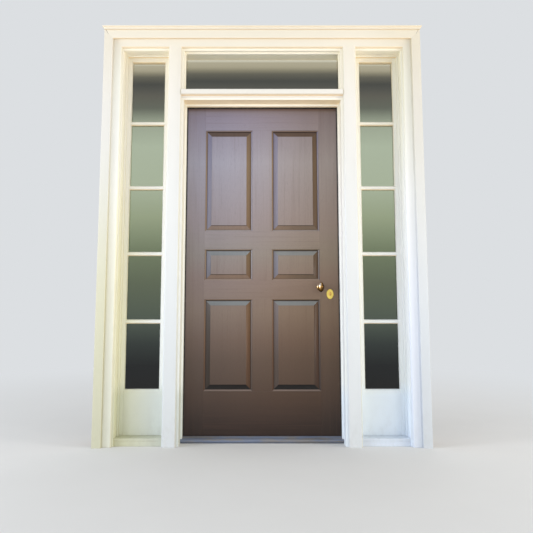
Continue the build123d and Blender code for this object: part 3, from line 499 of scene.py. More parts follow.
@dataclass(frozen=True)
class VarnishedTimber(Finish):
    """Dark varnished hardwood of the leaf, paler higher up with a painted reflection of the sky."""

    grain: Grain = Grain.UPRIGHT
    seed: float = 0.0
    thickness: float = 44.5 * MM
    # Painted light by height: paler higher up as a painted reflection of the sky, darker towards the
    # bottom; the dark stops from 2.027 up are a painted shadow under the head.
    stops: Stops = (
        (0.04, (42, 25, 18)), (0.11, (50, 34, 26)), (0.25, (74, 55, 44)), (0.48, (94, 76, 65)),
        (0.6, (110, 90, 79)), (0.77, (131, 113, 102)), (0.98, (140, 122, 117)), (1.12, (146, 136, 132)),
        (1.33, (154, 142, 146)), (1.7, (164, 159, 172)), (2.0, (139, 130, 147)), (2.027, (133, 124, 136)),
        (2.032, (126, 115, 124)), (2.037, (118, 102, 107)), (2.043, (107, 88, 88)), (2.048, (92, 71, 66)),
        (2.0535, (78, 55, 47)), (2.06, (58, 38, 33)),
    )
    level: float = 1.0
    # Share of the painted sky reflection on faces that lean left.
    sheen: float = 0.25
    # Painted reflection across the leaf's width: a cool tint at the left, a yellowish one at the right,
    # both scaled by level.
    across: Span = (-0.45, 0.45)
    sides: tuple[Colour, Colour] = ((246, 251, 255), (238, 226, 200))
    # Painted sky reflection on faces that lean left, and painted shade on them low down at the left.
    left: Stops = ((0.45, (70, 66, 66)), (0.85, (90, 98, 118)), (1.0, (90, 112, 146)), (1.6, (84, 88, 132)))
    left_low: Colour = (188, 182, 168)
    lower: Span = (1.1, 0.7)
    left_half: Span = (0.0, -0.3)
    # Painted bounce light on faces that lean right, and painted shade on them at the right.
    right: Stops = ((0.5, (246, 206, 140)), (0.9, (206, 176, 125)), (1.6, (210, 180, 129)))
    right_far: Colour = (217, 217, 222)
    right_half: Span = (0.0, 0.35)
    # Painted shade on faces that lean down, deepest low down, with more of it at the right.
    down: Stops = (
        (0.33, (62, 44, 20)), (0.5, (194, 174, 144)), (0.9, (240, 226, 204)), (1.6, (222, 200, 172)),
    )
    down_right: Colour = (214, 222, 224)
    down_right_at: tuple[Span, Span] = ((0.0, 0.3), (1.5, 1.2))
    # Painted reflection on faces that lean up: a darker tint high up, a pale sky tint lower down.
    up_high: Colour = (160, 136, 109)
    upper: Span = (1.3, 1.7)
    up_low: Stops = (
        (0.3, (100, 104, 104)), (0.7, (100, 152, 170)), (0.95, (112, 168, 188)), (1.15, (82, 132, 152)),
    )
    # Painted shade in the leaf's corners and along its sticking, on faces that lean steeply down and by
    # depth.
    crevice_shade: Stops = ((0.9, (26, 11, 6)), (1.25, (32, 16, 9)), (1.6, (50, 34, 26)))
    crevice_depth: Span = (8.2, 11.0)
    crevice_share: float = 0.85
    field_shade: Span | None = None
    # Faces that lean this way get less of the painted shade in corners.
    open_side: str = "Up"
    pore: Colour = (38, 25, 20)
    streak: Colour = (88, 62, 50)

    def build(self, effects: Effects) -> Material:
        """Makes the material.

        Args:
            effects: The shared node groups.

        Returns:
            The material.
        """
        coat = Coat(
            self.name, effects, IOR=1.5, Specular_IOR_Level=0.35, Coat_Weight=0.2, Coat_Roughness=0.22,
        )
        x, y, z = coat.axes(coat.place())
        fibre = coat.effect("fibre", Vector=coat.along(self.grain), Seed=self.seed)
        # Painted reflection and shadow by height.
        coat.colour = coat.ramp(z, self.stops)
        # Painted reflection across the width.
        sides = [tuple(round(c * self.level) for c in side) for side in self.sides]
        coat.shade(coat.mix(coat.span(x, *self.across), *sides))
        coat.lay(self.streak, coat.span(fibre["Streak"], 0.50, 0.72, 0.0, 0.16))
        coat.lay(self.streak, coat.span(fibre["Band"], 0.46, 0.70, 0.0, 0.08))
        coat.lay(self.pore, fibre["Pore"], 0.25)
        lean = coat.effect("lean", Slight=0.06, Full=0.18)
        # Painted sky reflection and painted shade on faces that lean left.
        coat.lay(coat.ramp(z, self.left), lean["Left"], self.sheen)
        coat.shade(
            self.left_low, coat.span(x, *self.left_half), coat.span(z, *self.lower), lean["Left"],
        )
        # Painted shade and bounce light on faces that lean right.
        coat.shade(self.right_far, coat.span(x, *self.right_half), lean["Right"])
        coat.shade(coat.ramp(z, self.right), lean["Right"])
        # Painted shade on faces that lean down.
        coat.shade(coat.ramp(z, self.down), lean["Down"])
        near, beneath = self.down_right_at
        coat.shade(self.down_right, coat.span(x, *near), coat.span(z, *beneath), lean["Down"])
        # Painted shade in corners: on faces that lean steeply down, and by depth below the leaf's faces.
        crevice_shade = coat.ramp(z, self.crevice_shade)
        coat.lay(crevice_shade, coat.effect("lean", Slight=0.5, Full=0.9)["Down"], 0.92)
        # Painted reflection on faces that lean up.
        high = coat.times(lean["Up"], coat.span(z, *self.upper))
        coat.shade(self.up_high, high)
        coat.lay(coat.ramp(z, self.up_low), coat.math("SUBTRACT", lean["Up"], high), 0.25)
        depth = coat.math("MINIMUM", y, coat.math("SUBTRACT", self.thickness, y))
        if self.field_shade:
            limits = (edge * MM for edge in self.field_shade)
            coat.lay(crevice_shade, coat.span(depth, *limits, self.crevice_share, 0.0), lean["Down"])
        closed = coat.math("MULTIPLY_ADD", lean[self.open_side], -0.7, 1.0)
        limits = (edge * MM for edge in self.crevice_depth)
        coat.lay(crevice_shade, coat.span(depth, *limits, 0.0, self.crevice_share), closed)
        relief = coat.math("MULTIPLY_ADD", fibre["Pore"], -0.8, fibre["Streak"])
        return coat.close(coat.span(fibre["Streak"], 0.3, 0.7, 0.36, 0.46), relief, 0.08)


@dataclass(frozen=True)
class WornPaint(Finish):
    """Grey paint on the threshold, worn thin in patches."""

    paint: Colour = (110, 120, 140)
    bare: Colour = (130, 124, 114)
    dirt: Colour = (62, 58, 54)

    def build(self, effects: Effects) -> Material:
        """Makes the material.

        Args:
            effects: The shared node groups.

        Returns:
            The material.
        """
        coat = Coat(self.name, effects, Specular_IOR_Level=0.3)
        streak = coat.effect("fibre", Vector=coat.along(Grain.LEVEL), Seed=4.0)["Streak"]
        cloud = coat.noise(coat.place(), (5.0, 30.0, 30.0), Detail=6.0, Roughness=0.65)
        coat.colour = coat.mix(coat.span(cloud, 0.44, 0.62, 0.0, 0.7), self.paint, self.bare)
        coat.lay(self.dirt, coat.span(streak, 0.50, 0.70, 0.0, 0.55))
        return coat.close(coat.span(cloud, 0.3, 0.7, 0.5, 0.75), streak, 0.25)


@dataclass(frozen=True)
class RawTimber(Finish):
    """Planed softwood where nothing shows once the frame is built in."""

    grain: Grain = Grain.UPRIGHT
    pale: Colour = (205, 178, 138)
    dark: Colour = (168, 128, 84)

    def build(self, effects: Effects) -> Material:
        """Makes the material.

        Args:
            effects: The shared node groups.

        Returns:
            The material.
        """
        coat = Coat(self.name, effects, Specular_IOR_Level=0.25)
        fibre = coat.effect("fibre", Vector=coat.along(self.grain), Seed=9.0)
        figure = coat.math("MULTIPLY_ADD", fibre["Band"], 0.6, coat.times(fibre["Streak"], 0.4))
        coat.colour = coat.mix(coat.span(figure, 0.4, 0.62), self.pale, self.dark)
        return coat.close(coat.span(fibre["Streak"], 0.3, 0.7, 0.6, 0.75), fibre["Streak"], 0.12)


@dataclass(frozen=True)
class PaneGlass(Finish):
    """Window glass tinted by height: deeper lower down as a dim hall behind it, with painted reflections
    and painted shade.
    """

    # Painted reflection and shade by height, pale at the very top.
    stops: Stops = (
        (0.3, (4, 5, 4)), (0.45, (16, 19, 18)), (0.58, (48, 55, 50)), (0.72, (84, 94, 80)),
        (0.95, (104, 113, 88)), (1.15, (128, 139, 106)), (1.35, (170, 180, 144)), (1.55, (192, 202, 172)),
        (1.8, (196, 206, 178)), (1.95, (178, 186, 160)), (2.05, (110, 113, 98)), (2.13, (104, 101, 88)),
        (2.18, (86, 85, 76)), (2.21, (75, 75, 67)), (2.256, (110, 106, 90)), (2.28, (156, 148, 122)),
        (2.30, (192, 182, 152)), (2.332, (202, 192, 162)), (2.345, (255, 250, 226)),
        (2.37, (255, 254, 244)),
    )

    def build(self, effects: Effects) -> Material:
        """Makes the material.

        Args:
            effects: The shared node groups.

        Returns:
            The material.
        """
        coat = Coat(self.name, effects, IOR=1.45, Transmission_Weight=1.0, Metallic=0.0)
        place = coat.place()
        coat.colour = coat.ramp(coat.axes(place)[2], self.stops)
        return coat.close(coat.span(coat.effect("blotch", Vector=place)["Cloud"], 0.3, 0.7, 0.0, 0.03))


@dataclass(frozen=True)
class Rubber(Finish):
    """Dull extruded rubber."""

    black: Colour = (34, 31, 30)
    dusty: Colour = (62, 58, 54)

    def build(self, effects: Effects) -> Material:
        """Makes the material.

        Args:
            effects: The shared node groups.

        Returns:
            The material.
        """
        coat = Coat(self.name, effects, Specular_IOR_Level=0.3)
        blotch = coat.effect("blotch", Vector=coat.place())
        coat.colour = coat.mix(coat.span(blotch["Cloud"], 0.4, 0.7), self.black, self.dusty)
        return coat.close(coat.span(blotch["Speck"], 0.3, 0.7, 0.6, 0.8), blotch["Speck"], 0.03)


@dataclass(frozen=True)
class Metal(Finish):
    """A solid metal, bright where it is handled and tarnished elsewhere, with a painted highlight where
    given.
    """

    bright: Colour
    tarnish: Colour
    wear: float
    smooth: float
    rough: float
    spread: float = 0.12
    relief: float = 0.02
    # Direction and colours of the painted highlight, where given.
    glint: Place = (-0.42, 0.78, 0.46)
    glow: Stops | None = None

    def build(self, effects: Effects) -> Material:
        """Makes the material.

        Args:
            effects: The shared node groups.

        Returns:
            The material.
        """
        coat = Coat(self.name, effects, Metallic=1.0)
        blotch = coat.effect("blotch", Vector=coat.place())
        dull = coat.span(blotch["Cloud"], self.wear - self.spread, self.wear + self.spread)
        coat.colour = coat.mix(dull, self.bright, self.tarnish)
        # Painted highlight toward the glint direction.
        if self.glow:
            coat.shade(coat.ramp(self.toward_glint(coat), self.glow))
        roughness = coat.math("MULTIPLY_ADD", dull, self.rough - self.smooth, self.smooth)
        grainy = coat.math("MULTIPLY_ADD", blotch["Scratch"], 0.5, blotch["Speck"])
        return coat.close(roughness, grainy, self.relief)

    def toward_glint(self, coat: Coat) -> NodeSocket:
        """How nearly a face looks up and to the left, where the painted highlight is palest.

        Args:
            coat: The material in the making.

        Returns:
            The cosine to the palest direction, the same on both sides of the leaf.
        """
        x, y, z = coat.axes(coat.facing())
        facing = coat.vector(x, coat.math("ABSOLUTE", y), z)
        return coat.node("VectorMath", {0: facing, 1: self.glint}, operation="DOT_PRODUCT").outputs["Value"]


@dataclass
class Palette:
    """Every finish on the door, built once and handed to the sub-assemblies."""

    outer_corner: tuple[float, float] = (0.9795, 2.510)

    def __post_init__(self) -> None:
        """Builds the materials."""
        up, level = Grain.UPRIGHT, Grain.LEVEL
        # foot: the tint of the painted shadow at the foot of the left side.
        foot, corner = (241, 239, 230), self.outer_corner
        finishes = {
            "trim_up": GlossPaint("gloss_paint_upright", up),
            "trim_level": GlossPaint("gloss_paint_level", level),
            # The outer band: a darker copy of the paint, painted shade, with painted light low at the left.
            "band_up": GlossPaint(
                "gloss_paint_band_upright", up, low_left=(249, 243, 212), level=0.94, mitres=corner,
            ),
            "band_level": GlossPaint("gloss_paint_band_level", level, mitres=corner),
            # Painted light high at the right of the sashes.
            "sash_up": GlossPaint(
                "gloss_paint_sash_upright", up, SASH_STOPS, foot_left=foot, high_right=(248, 252, 255),
            ),
            # Painted bounce light on the sash undersides.
            "sash_level": GlossPaint(
                "gloss_paint_sash_level", level, SASH_STOPS, painted_bounce=(254, 222, 170), foot_left=foot,
            ),
            # Painted bounce light on the undersides of the stops and the cove.
            "stop_level": GlossPaint("gloss_paint_stop_level", level, SASH_STOPS, painted_bounce=(255, 246, 226)),
            "cove": GlossPaint("gloss_paint_cove", level, painted_bounce=(232, 194, 138)),
            # The bases: painted shade and cool light, with painted shadow at the foot of the left side.
            "base": GlossPaint("gloss_paint_base", level, BASE_STOPS, foot_left=(238, 233, 207)),
            # Painted light: the paler copy of the paint for the outer casing boards.
            "board_up": GlossPaint("gloss_paint_board_upright", up, BOARD_STOPS),
            # The stiles: painted shade on the left-facing sticking and a scaled painted reflection across
            # the width.
            "stile": VarnishedTimber("varnish_stile", up, 0.0, level=0.95, left=STILE_LEFT, sheen=0.65),
            "mullion": VarnishedTimber("varnish_mullion", up, 3.1),
            # The rails: painted sky reflection on up-facing faces.
            "rail": VarnishedTimber("varnish_rail", level, 1.7, up_low=RAIL_UP),
            # The panels: painted shade in corners from deeper down, painted shade under the raised field,
            # more painted sky reflection.
            "panel": VarnishedTimber(
                "varnish_panel", up, 6.4, open_side="Down", crevice_depth=(11.1, 12.0),
                field_shade=(6.2, 7.0), sheen=0.4,
            ),
            "threshold": WornPaint("worn_grey_paint"),
            "raw_up": RawTimber("planed_softwood"),
            "raw_level": RawTimber("planed_softwood_level", level),
            "glass": PaneGlass("pane_glass"),
            "rubber": Rubber("seal_rubber"),
            "steel": Metal("plated_steel", (196, 197, 194), (138, 138, 134), 0.55, 0.28, 0.5),
            "hinge": Metal("hinge_brass", (176, 150, 92), (116, 92, 56), 0.5, 0.3, 0.55),
            "bolt": Metal("bolt_brass", (206, 178, 116), (160, 130, 78), 0.6, 0.22, 0.4),
            # The bronze carries a painted highlight.
            "bronze": Metal(
                "aged_bronze", (252, 252, 252), (214, 206, 192), 0.5, 0.17, 0.28, glow=BRONZE_PAINTED_HIGHLIGHT,
            ),
            "brass": Metal("polished_brass", (255, 226, 118), (242, 190, 84), 0.62, 0.30, 0.42),
            "cover_brass": Metal("cover_brass", (246, 202, 112), (206, 152, 70), 0.55, 0.28, 0.40),
            # Darker brass for the key plate's rim, which gives the plate a dark outline.
            "dull_brass": Metal("darker_rim_brass", (176, 144, 78), (120, 92, 46), 0.5, 0.3, 0.45),
        }
        effects = Effects()
        self.materials = {key: finish.build(effects) for key, finish in finishes.items()}

    def __getitem__(self, key: str) -> Material:
        """The material kept under a short key."""
        return self.materials[key]


@dataclass(frozen=True)
class Piece:
    """What a finished piece stands for, wears and rides on.

    Attributes:
        nodes: The CAD nodes that it replaces, parted by spaces.
        finishes: Keys of its materials, parted by spaces.
        easing: Rounding of its sharp edges in millimetres.
        slot: The record's material slot; not used.
        body: The CAD body that it rides on.
        name: Its name, or empty for its node's name and _eased.
        chooser: Picks a material's number from a face's centre and normal.
        smooth: Edges bent by less than this many degrees are shaded smooth.
    """

    nodes: str
    finishes: str
    easing: float = 0.0
    slot: str = "painted_trim"
    body: str = "frame"
    name: str = ""
    chooser: Chooser | None = None
    smooth: float = 32.0


Pieces = tuple[Piece, ...]


def alike(nodes: str, *looks: object, **settings: object) -> Pieces:
    """One piece for each of several CAD nodes, parted by spaces, that are finished alike."""
    return tuple(Piece(node, *looks, **settings) for node in nodes.split())


@dataclass
class Workshop:
    """Turns meshes into finished pieces of the door."""

    palette: Palette
    pieces: list[Object] = field(default_factory=list)
    flat: float = math.radians(0.6)
    eased_from: float = math.radians(28.0)

    def merged(self, mesh: bpy.types.Mesh) -> BMesh:
        """Merges a mesh's loose triangles into flat faces of three or four sides.

        Args:
            mesh: The mesh, which is left alone.

        Returns:
            The merged copy, where a ring round a hole is split into such faces too.
        """
        made = bmesh.new()
        made.from_mesh(mesh)
        bmesh.ops.remove_doubles(made, verts=made.verts, dist=0.01 * MM)
        bmesh.ops.recalc_face_normals(made, faces=made.faces)
        bmesh.ops.dissolve_limit(
            made, angle_limit=self.flat, verts=made.verts, edges=made.edges, delimit={"NORMAL"},
        )
        cut = bmesh.ops.triangulate(made, faces=[face for face in made.faces if len(face.verts) > 4])
        bmesh.ops.join_triangles(
            made, faces=cut["faces"], angle_face_threshold=self.flat, angle_shape_threshold=math.pi,
        )
        return made

    def union(self, nodes: list[str]) -> BMesh:
        """Joins touching CAD nodes into one solid, without the seams between them.

        Args:
            nodes: The nodes' names.

        Returns:
            The joined mesh.
        """
        parts = []
        for node in nodes:
            name = f"union_{node}"
            parts.append(add(name, to_mesh(name, self.merged(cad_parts[node].data))))
        base, *others = parts
        for other in others:
            joint = base.modifiers.new("join", "BOOLEAN")
            joint.operation, joint.solver, joint.object = "UNION", "EXACT", other
        bpy.context.view_layer.update()
        whole = bpy.data.meshes.new_from_object(base.evaluated_get(bpy.context.evaluated_depsgraph_get()))
        for part in parts:
            bpy.data.objects.remove(part)
        return self.merged(whole)

    def finish(self, made: BMesh, piece: Piece) -> None:
        """Makes a mesh into a shaded object that rides on its body.

        Args:
            made: The piece's mesh, which is freed.
            piece: What it stands for, wears and rides on.
        """
        made.normal_update()
        facing = made.faces.layers.float_vector.new(FACING)
        for face in made.faces:
            face[facing] = face.normal
            face.smooth = True
            if piece.chooser:
                face.material_index = piece.chooser(face.calc_center_median(), face.normal)
        bend = math.radians(piece.smooth)
        for edge in made.edges:
            edge.smooth = len(edge.link_faces) == 2 and edge.calc_face_angle(0.0) < bend
        nodes = piece.nodes.split()
        name = piece.name or f"{nodes[0]}_eased"
        shown = add(name, to_mesh(name, made))
        for key in piece.finishes.split():
            shown.data.materials.append(self.palette[key])
        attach(shown, piece.body)
        if piece.easing:
            self.ease(shown, piece.easing)
        if nodes:
            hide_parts(*nodes)
        self.pieces.append(shown)

    def ease(self, shown: Object, width: float) -> None:
        """Rounds an object's sharp edges.

        Args:
            shown: The object.
            width: Width of the rounding in millimetres.
        """
        bevel = shown.modifiers.new("eased_edges", "BEVEL")
        bevel.width, bevel.segments, bevel.profile = width * MM, 2, 0.5
        bevel.limit_method, bevel.angle_limit = "ANGLE", self.eased_from
        bevel.harden_normals = True
        bevel.miter_outer = "MITER_ARC"

    def copy(self, piece: Piece) -> None:
        """Replaces one or more CAD timbers with a copy whose edges are eased.

        Args:
            piece: The copy; several nodes are joined into one solid.
        """
        nodes = piece.nodes.split()
        made = self.union(nodes) if len(nodes) > 1 else self.merged(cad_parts[nodes[0]].data)
        self.finish(made, piece)

    def lathe(self, profile: Outline, centre: Vector, closed: bool = False, steps: int = 64) -> BMesh:
        """Spins a profile round a line along Y.

        Args:
            profile: Radius and depth pairs in millimetres, depth counted along +Y from the centre.
            centre: A point on the line, in metres.
            closed: Whether the profile's last point joins its first, as for a ring.
            steps: Steps round.

        Returns:
            The spun mesh.
        """
        made = bmesh.new()
        verts = [made.verts.new((centre.x + r * MM, centre.y + y * MM, centre.z)) for r, y in profile]
        pairs = list(zip(verts, verts[1:])) + ([(verts[-1], verts[0])] if closed else [])
        edges = [made.edges.new(pair) for pair in pairs]
        bmesh.ops.spin(
            made, geom=verts + edges, cent=centre, axis=(0, 1, 0), dvec=(0, 0, 0),
            angle=math.tau, steps=steps, use_merge=True,
        )
        bmesh.ops.remove_doubles(made, verts=made.verts, dist=0.005 * MM)
        bmesh.ops.recalc_face_normals(made, faces=made.faces)
        return made

    def merge(self, *parts: BMesh) -> BMesh:
        """Puts several meshes into the first.

        Args:
            parts: The meshes, of which all but the first are freed.

        Returns:
            The first mesh.
        """
        first, *others = parts
        for other in others:
            mesh = to_mesh("part", other)
            first.from_mesh(mesh)
            bpy.data.meshes.remove(mesh)
        return first

    def screw(self, centre: Vector, look: int, radius: float = 3.6) -> BMesh:
        """A slotted countersunk screw head, all but flush.

        Args:
            centre: Middle of the head on the plate's face, in metres.
            look: The way along X that the head looks, 1 or -1.
            radius: Its radius in millimetres.

        Returns:
            The head's mesh.
        """
        slot_half, lift = 0.5 * MM, 0.35 * MM
        made = bmesh.new()
        bmesh.ops.create_circle(made, cap_ends=True, segments=20, radius=radius * MM)
        for offset in (-slot_half, slot_half):
            geom = made.verts[:] + made.edges[:] + made.faces[:]
            bmesh.ops.bisect_plane(made, geom=geom, plane_co=(offset, 0, 0), plane_no=(1, 0, 0))
        outer = [face for face in made.faces if abs(face.calc_center_median().x) >= 0.1 * MM]
        lifted = bmesh.ops.extrude_face_region(made, geom=outer)
        raised = [v for v in lifted["geom"] if isinstance(v, bmesh.types.BMVert)]
        bmesh.ops.translate(made, verts=raised, vec=(0, 0, lift))
        bmesh.ops.recalc_face_normals(made, faces=made.faces)
        turn = Vector((look, 0, 0)).to_track_quat("Z", "Y").to_matrix().to_4x4()
        bmesh.ops.transform(made, matrix=Matrix.Translation(centre) @ turn, verts=made.verts)
        return made


@dataclass
class Assembly:
    """A sub-assembly, with the pieces that are CAD nodes with eased edges."""

    workshop: Workshop
    pieces: Pieces = ()

    def build(self) -> None:
        """Makes the eased pieces."""
        for piece in self.pieces:
            self.workshop.copy(piece)


def into_wall(centre: Vector, normal: Vector) -> int:
    """Picks a jamb's second material for the faces that look into the wall."""
    return int(normal.z > 0.9 or normal.x * math.copysign(1.0, centre.x) > 0.9)


def at_back(centre: Vector, normal: Vector) -> int:
    """Picks the second material for a post's back, which the inside casing would cover."""
    return int(normal.y > 0.9)


def board_paint(centre: Vector, normal: Vector) -> int:
    """Picks the level grain on the casing's head, and on its two outer boards the paler paint, which is
    painted light.
    """
    head_level, outer_board = 2.4015, 0.75
    return 1 if centre.z > head_level else 2 * (abs(centre.x) > outer_board)


@dataclass
class Casing(Assembly):
    """The flat boards, outer band and drip cap on the frame's outside face."""

    pieces: Pieces = (
        Piece(
            "casing_left casing_right casing_head post_left post_right", "trim_up trim_level board_up", 1.2,
            name="casing_boards", chooser=board_paint,
        ),
        *alike("backband_left backband_right", "band_up", 0.25),
        Piece("backband_head", "band_level", 0.25),
        Piece("drip_cap", "trim_level", 0.6),
    )


@dataclass
class Jambs(Assembly):
    """Head and side jambs, mull posts and the doorway's own jambs."""

    pieces: Pieces = (
        *alike("jamb_left jamb_right", "sash_up raw_up", 0.8, chooser=into_wall),
        Piece("door_jamb_hinge", "sash_up", 0.8),
        Piece("jamb_head", "stop_level raw_level", 0.8, chooser=into_wall),
        Piece("door_jamb_lock door_jamb_strike", "sash_up", 0.5, name="door_jamb_lock_whole"),
        Piece("mull_posts", "sash_up raw_up", 0.3, chooser=at_back),
    )


@dataclass
class Transom(Assembly):
    """The bar over the leaf with its nosing and cove, and the light above it."""

    pieces: Pieces = (
        Piece("transom_sill", "trim_level", 1.0),
        Piece("transom_cove", "cove", 0.4),
        Piece("transom_rail", "sash_level", 0.6),
        Piece("transom_stops", "stop_level", 0.5),
        Piece("transom_glass", "glass", 0.2, "window_glass"),
    )


@dataclass
class Doorway(Assembly):
    """Stops, seal and threshold."""

    pieces: Pieces = (
        Piece("door_stops", "sash_up", 0.8),
        Piece("door_stop_head", "sash_level", 0.8),
        Piece("threshold", "threshold", 1.0, "threshold_timber"),
        Piece("door_seal", "rubber", 1.4, "seal_rubber"),
    )


@dataclass
class Sidelights(Assembly):
    """Both sidelights: bases, stops, sashes, muntins, beads and glass."""

    pieces: Pieces = (
        Piece("sidelight_bases", "base", 0.7),
        *alike("sidelight_stops sidelight_stiles_left sidelight_stiles_right", "sash_up", 0.7),
        *alike("sidelight_stop_heads sidelight_rails sidelight_muntins", "sash_level", 0.7),
        Piece("sidelight_beads", "sash_level", 0.35),
        *alike("sidelight_glass_left sidelight_glass_right", "glass", 0.2, "window_glass"),
    )


@dataclass
class Leaf(Assembly):
    """The six panel leaf and its sweep."""

    pieces: Pieces = (
        *alike("hinge_stile lock_stile", "stile", 0.4, "door_timber", "leaf"),
        Piece("mullions", "mullion", 0.4, "door_timber", "leaf"),
        *alike("top_rail upper_rail lock_rail bottom_rail", "rail", 0.4, "door_timber", "leaf"),
        *alike("panels_upper panels_middle panels_lower", "panel", 0.7, "door_timber", "leaf"),
        Piece("door_sweep", "rubber", 0.6, "seal_rubber", "leaf"),
    )


@dataclass
class Hinges(Assembly):
    """Three butt hinges with loose pins and slotted screws."""

    pieces: Pieces = (
        Piece("hinge_leaves_frame", "hinge", 0.3, "hinge_brass"),
        Piece("hinge_leaves_door", "hinge", 0.3, "hinge_brass", "leaf"),
    )
    jamb_face: float = -0.4855
    leaf_edge: float = -0.4825
    centres: tuple[float, ...] = (0.3368, 1.0870, 1.8372)
    screw_rows: tuple[float, ...] = (-0.040, -0.0135, 0.0135, 0.040)
    screw_depths: tuple[float, float] = (0.0215, 0.0355)
    axis: tuple[float, float] = (-0.484, 0.051)
    pin: Outline = (
        (0.0, -54.0), (2.2, -53.6), (3.6, -52.2), (4.0, -50.8), (3.0, -50.8), (3.0, 50.8), (4.5, 50.8),
        (4.5, 51.6), (3.8, 52.6), (2.0, 53.2), (0.0, 53.4),
    )

    def screws(self, face: float, look: int) -> BMesh:
        """The staggered screws of three plates whose face is at an X and looks 1 or -1 along X."""
        heads = [
            self.workshop.screw(Vector((face, self.screw_depths[number % 2], centre + row)), look)
            for centre in self.centres
            for number, row in enumerate(self.screw_rows)
        ]
        return self.workshop.merge(*heads)

    def pins(self) -> BMesh:
        """Pins with a button head above and a ball tip below each hinge."""
        upright = Matrix.Rotation(math.radians(90), 4, "X")
        parts = []
        for centre in self.centres:
            spun = self.workshop.lathe(self.pin, Vector((0, 0, 0)), steps=32)
            place = Matrix.Translation((*self.axis, centre)) @ upright
            bmesh.ops.transform(spun, matrix=place, verts=spun.verts)
            parts.append(spun)
        return self.workshop.merge(*parts)

    def build(self) -> None:
        """Makes the hinges."""
        super().build()
        brass = partial(Piece, finishes="hinge", slot="hinge_brass")
        finish = self.workshop.finish
        finish(self.screws(self.jamb_face, 1), brass("", name="hinge_screws_frame"))
        finish(self.screws(self.leaf_edge, -1), brass("", name="hinge_screws_leaf", body="leaf"))
        finish(self.pins(), brass("hinge_pins", name="hinge_pins_turned"))


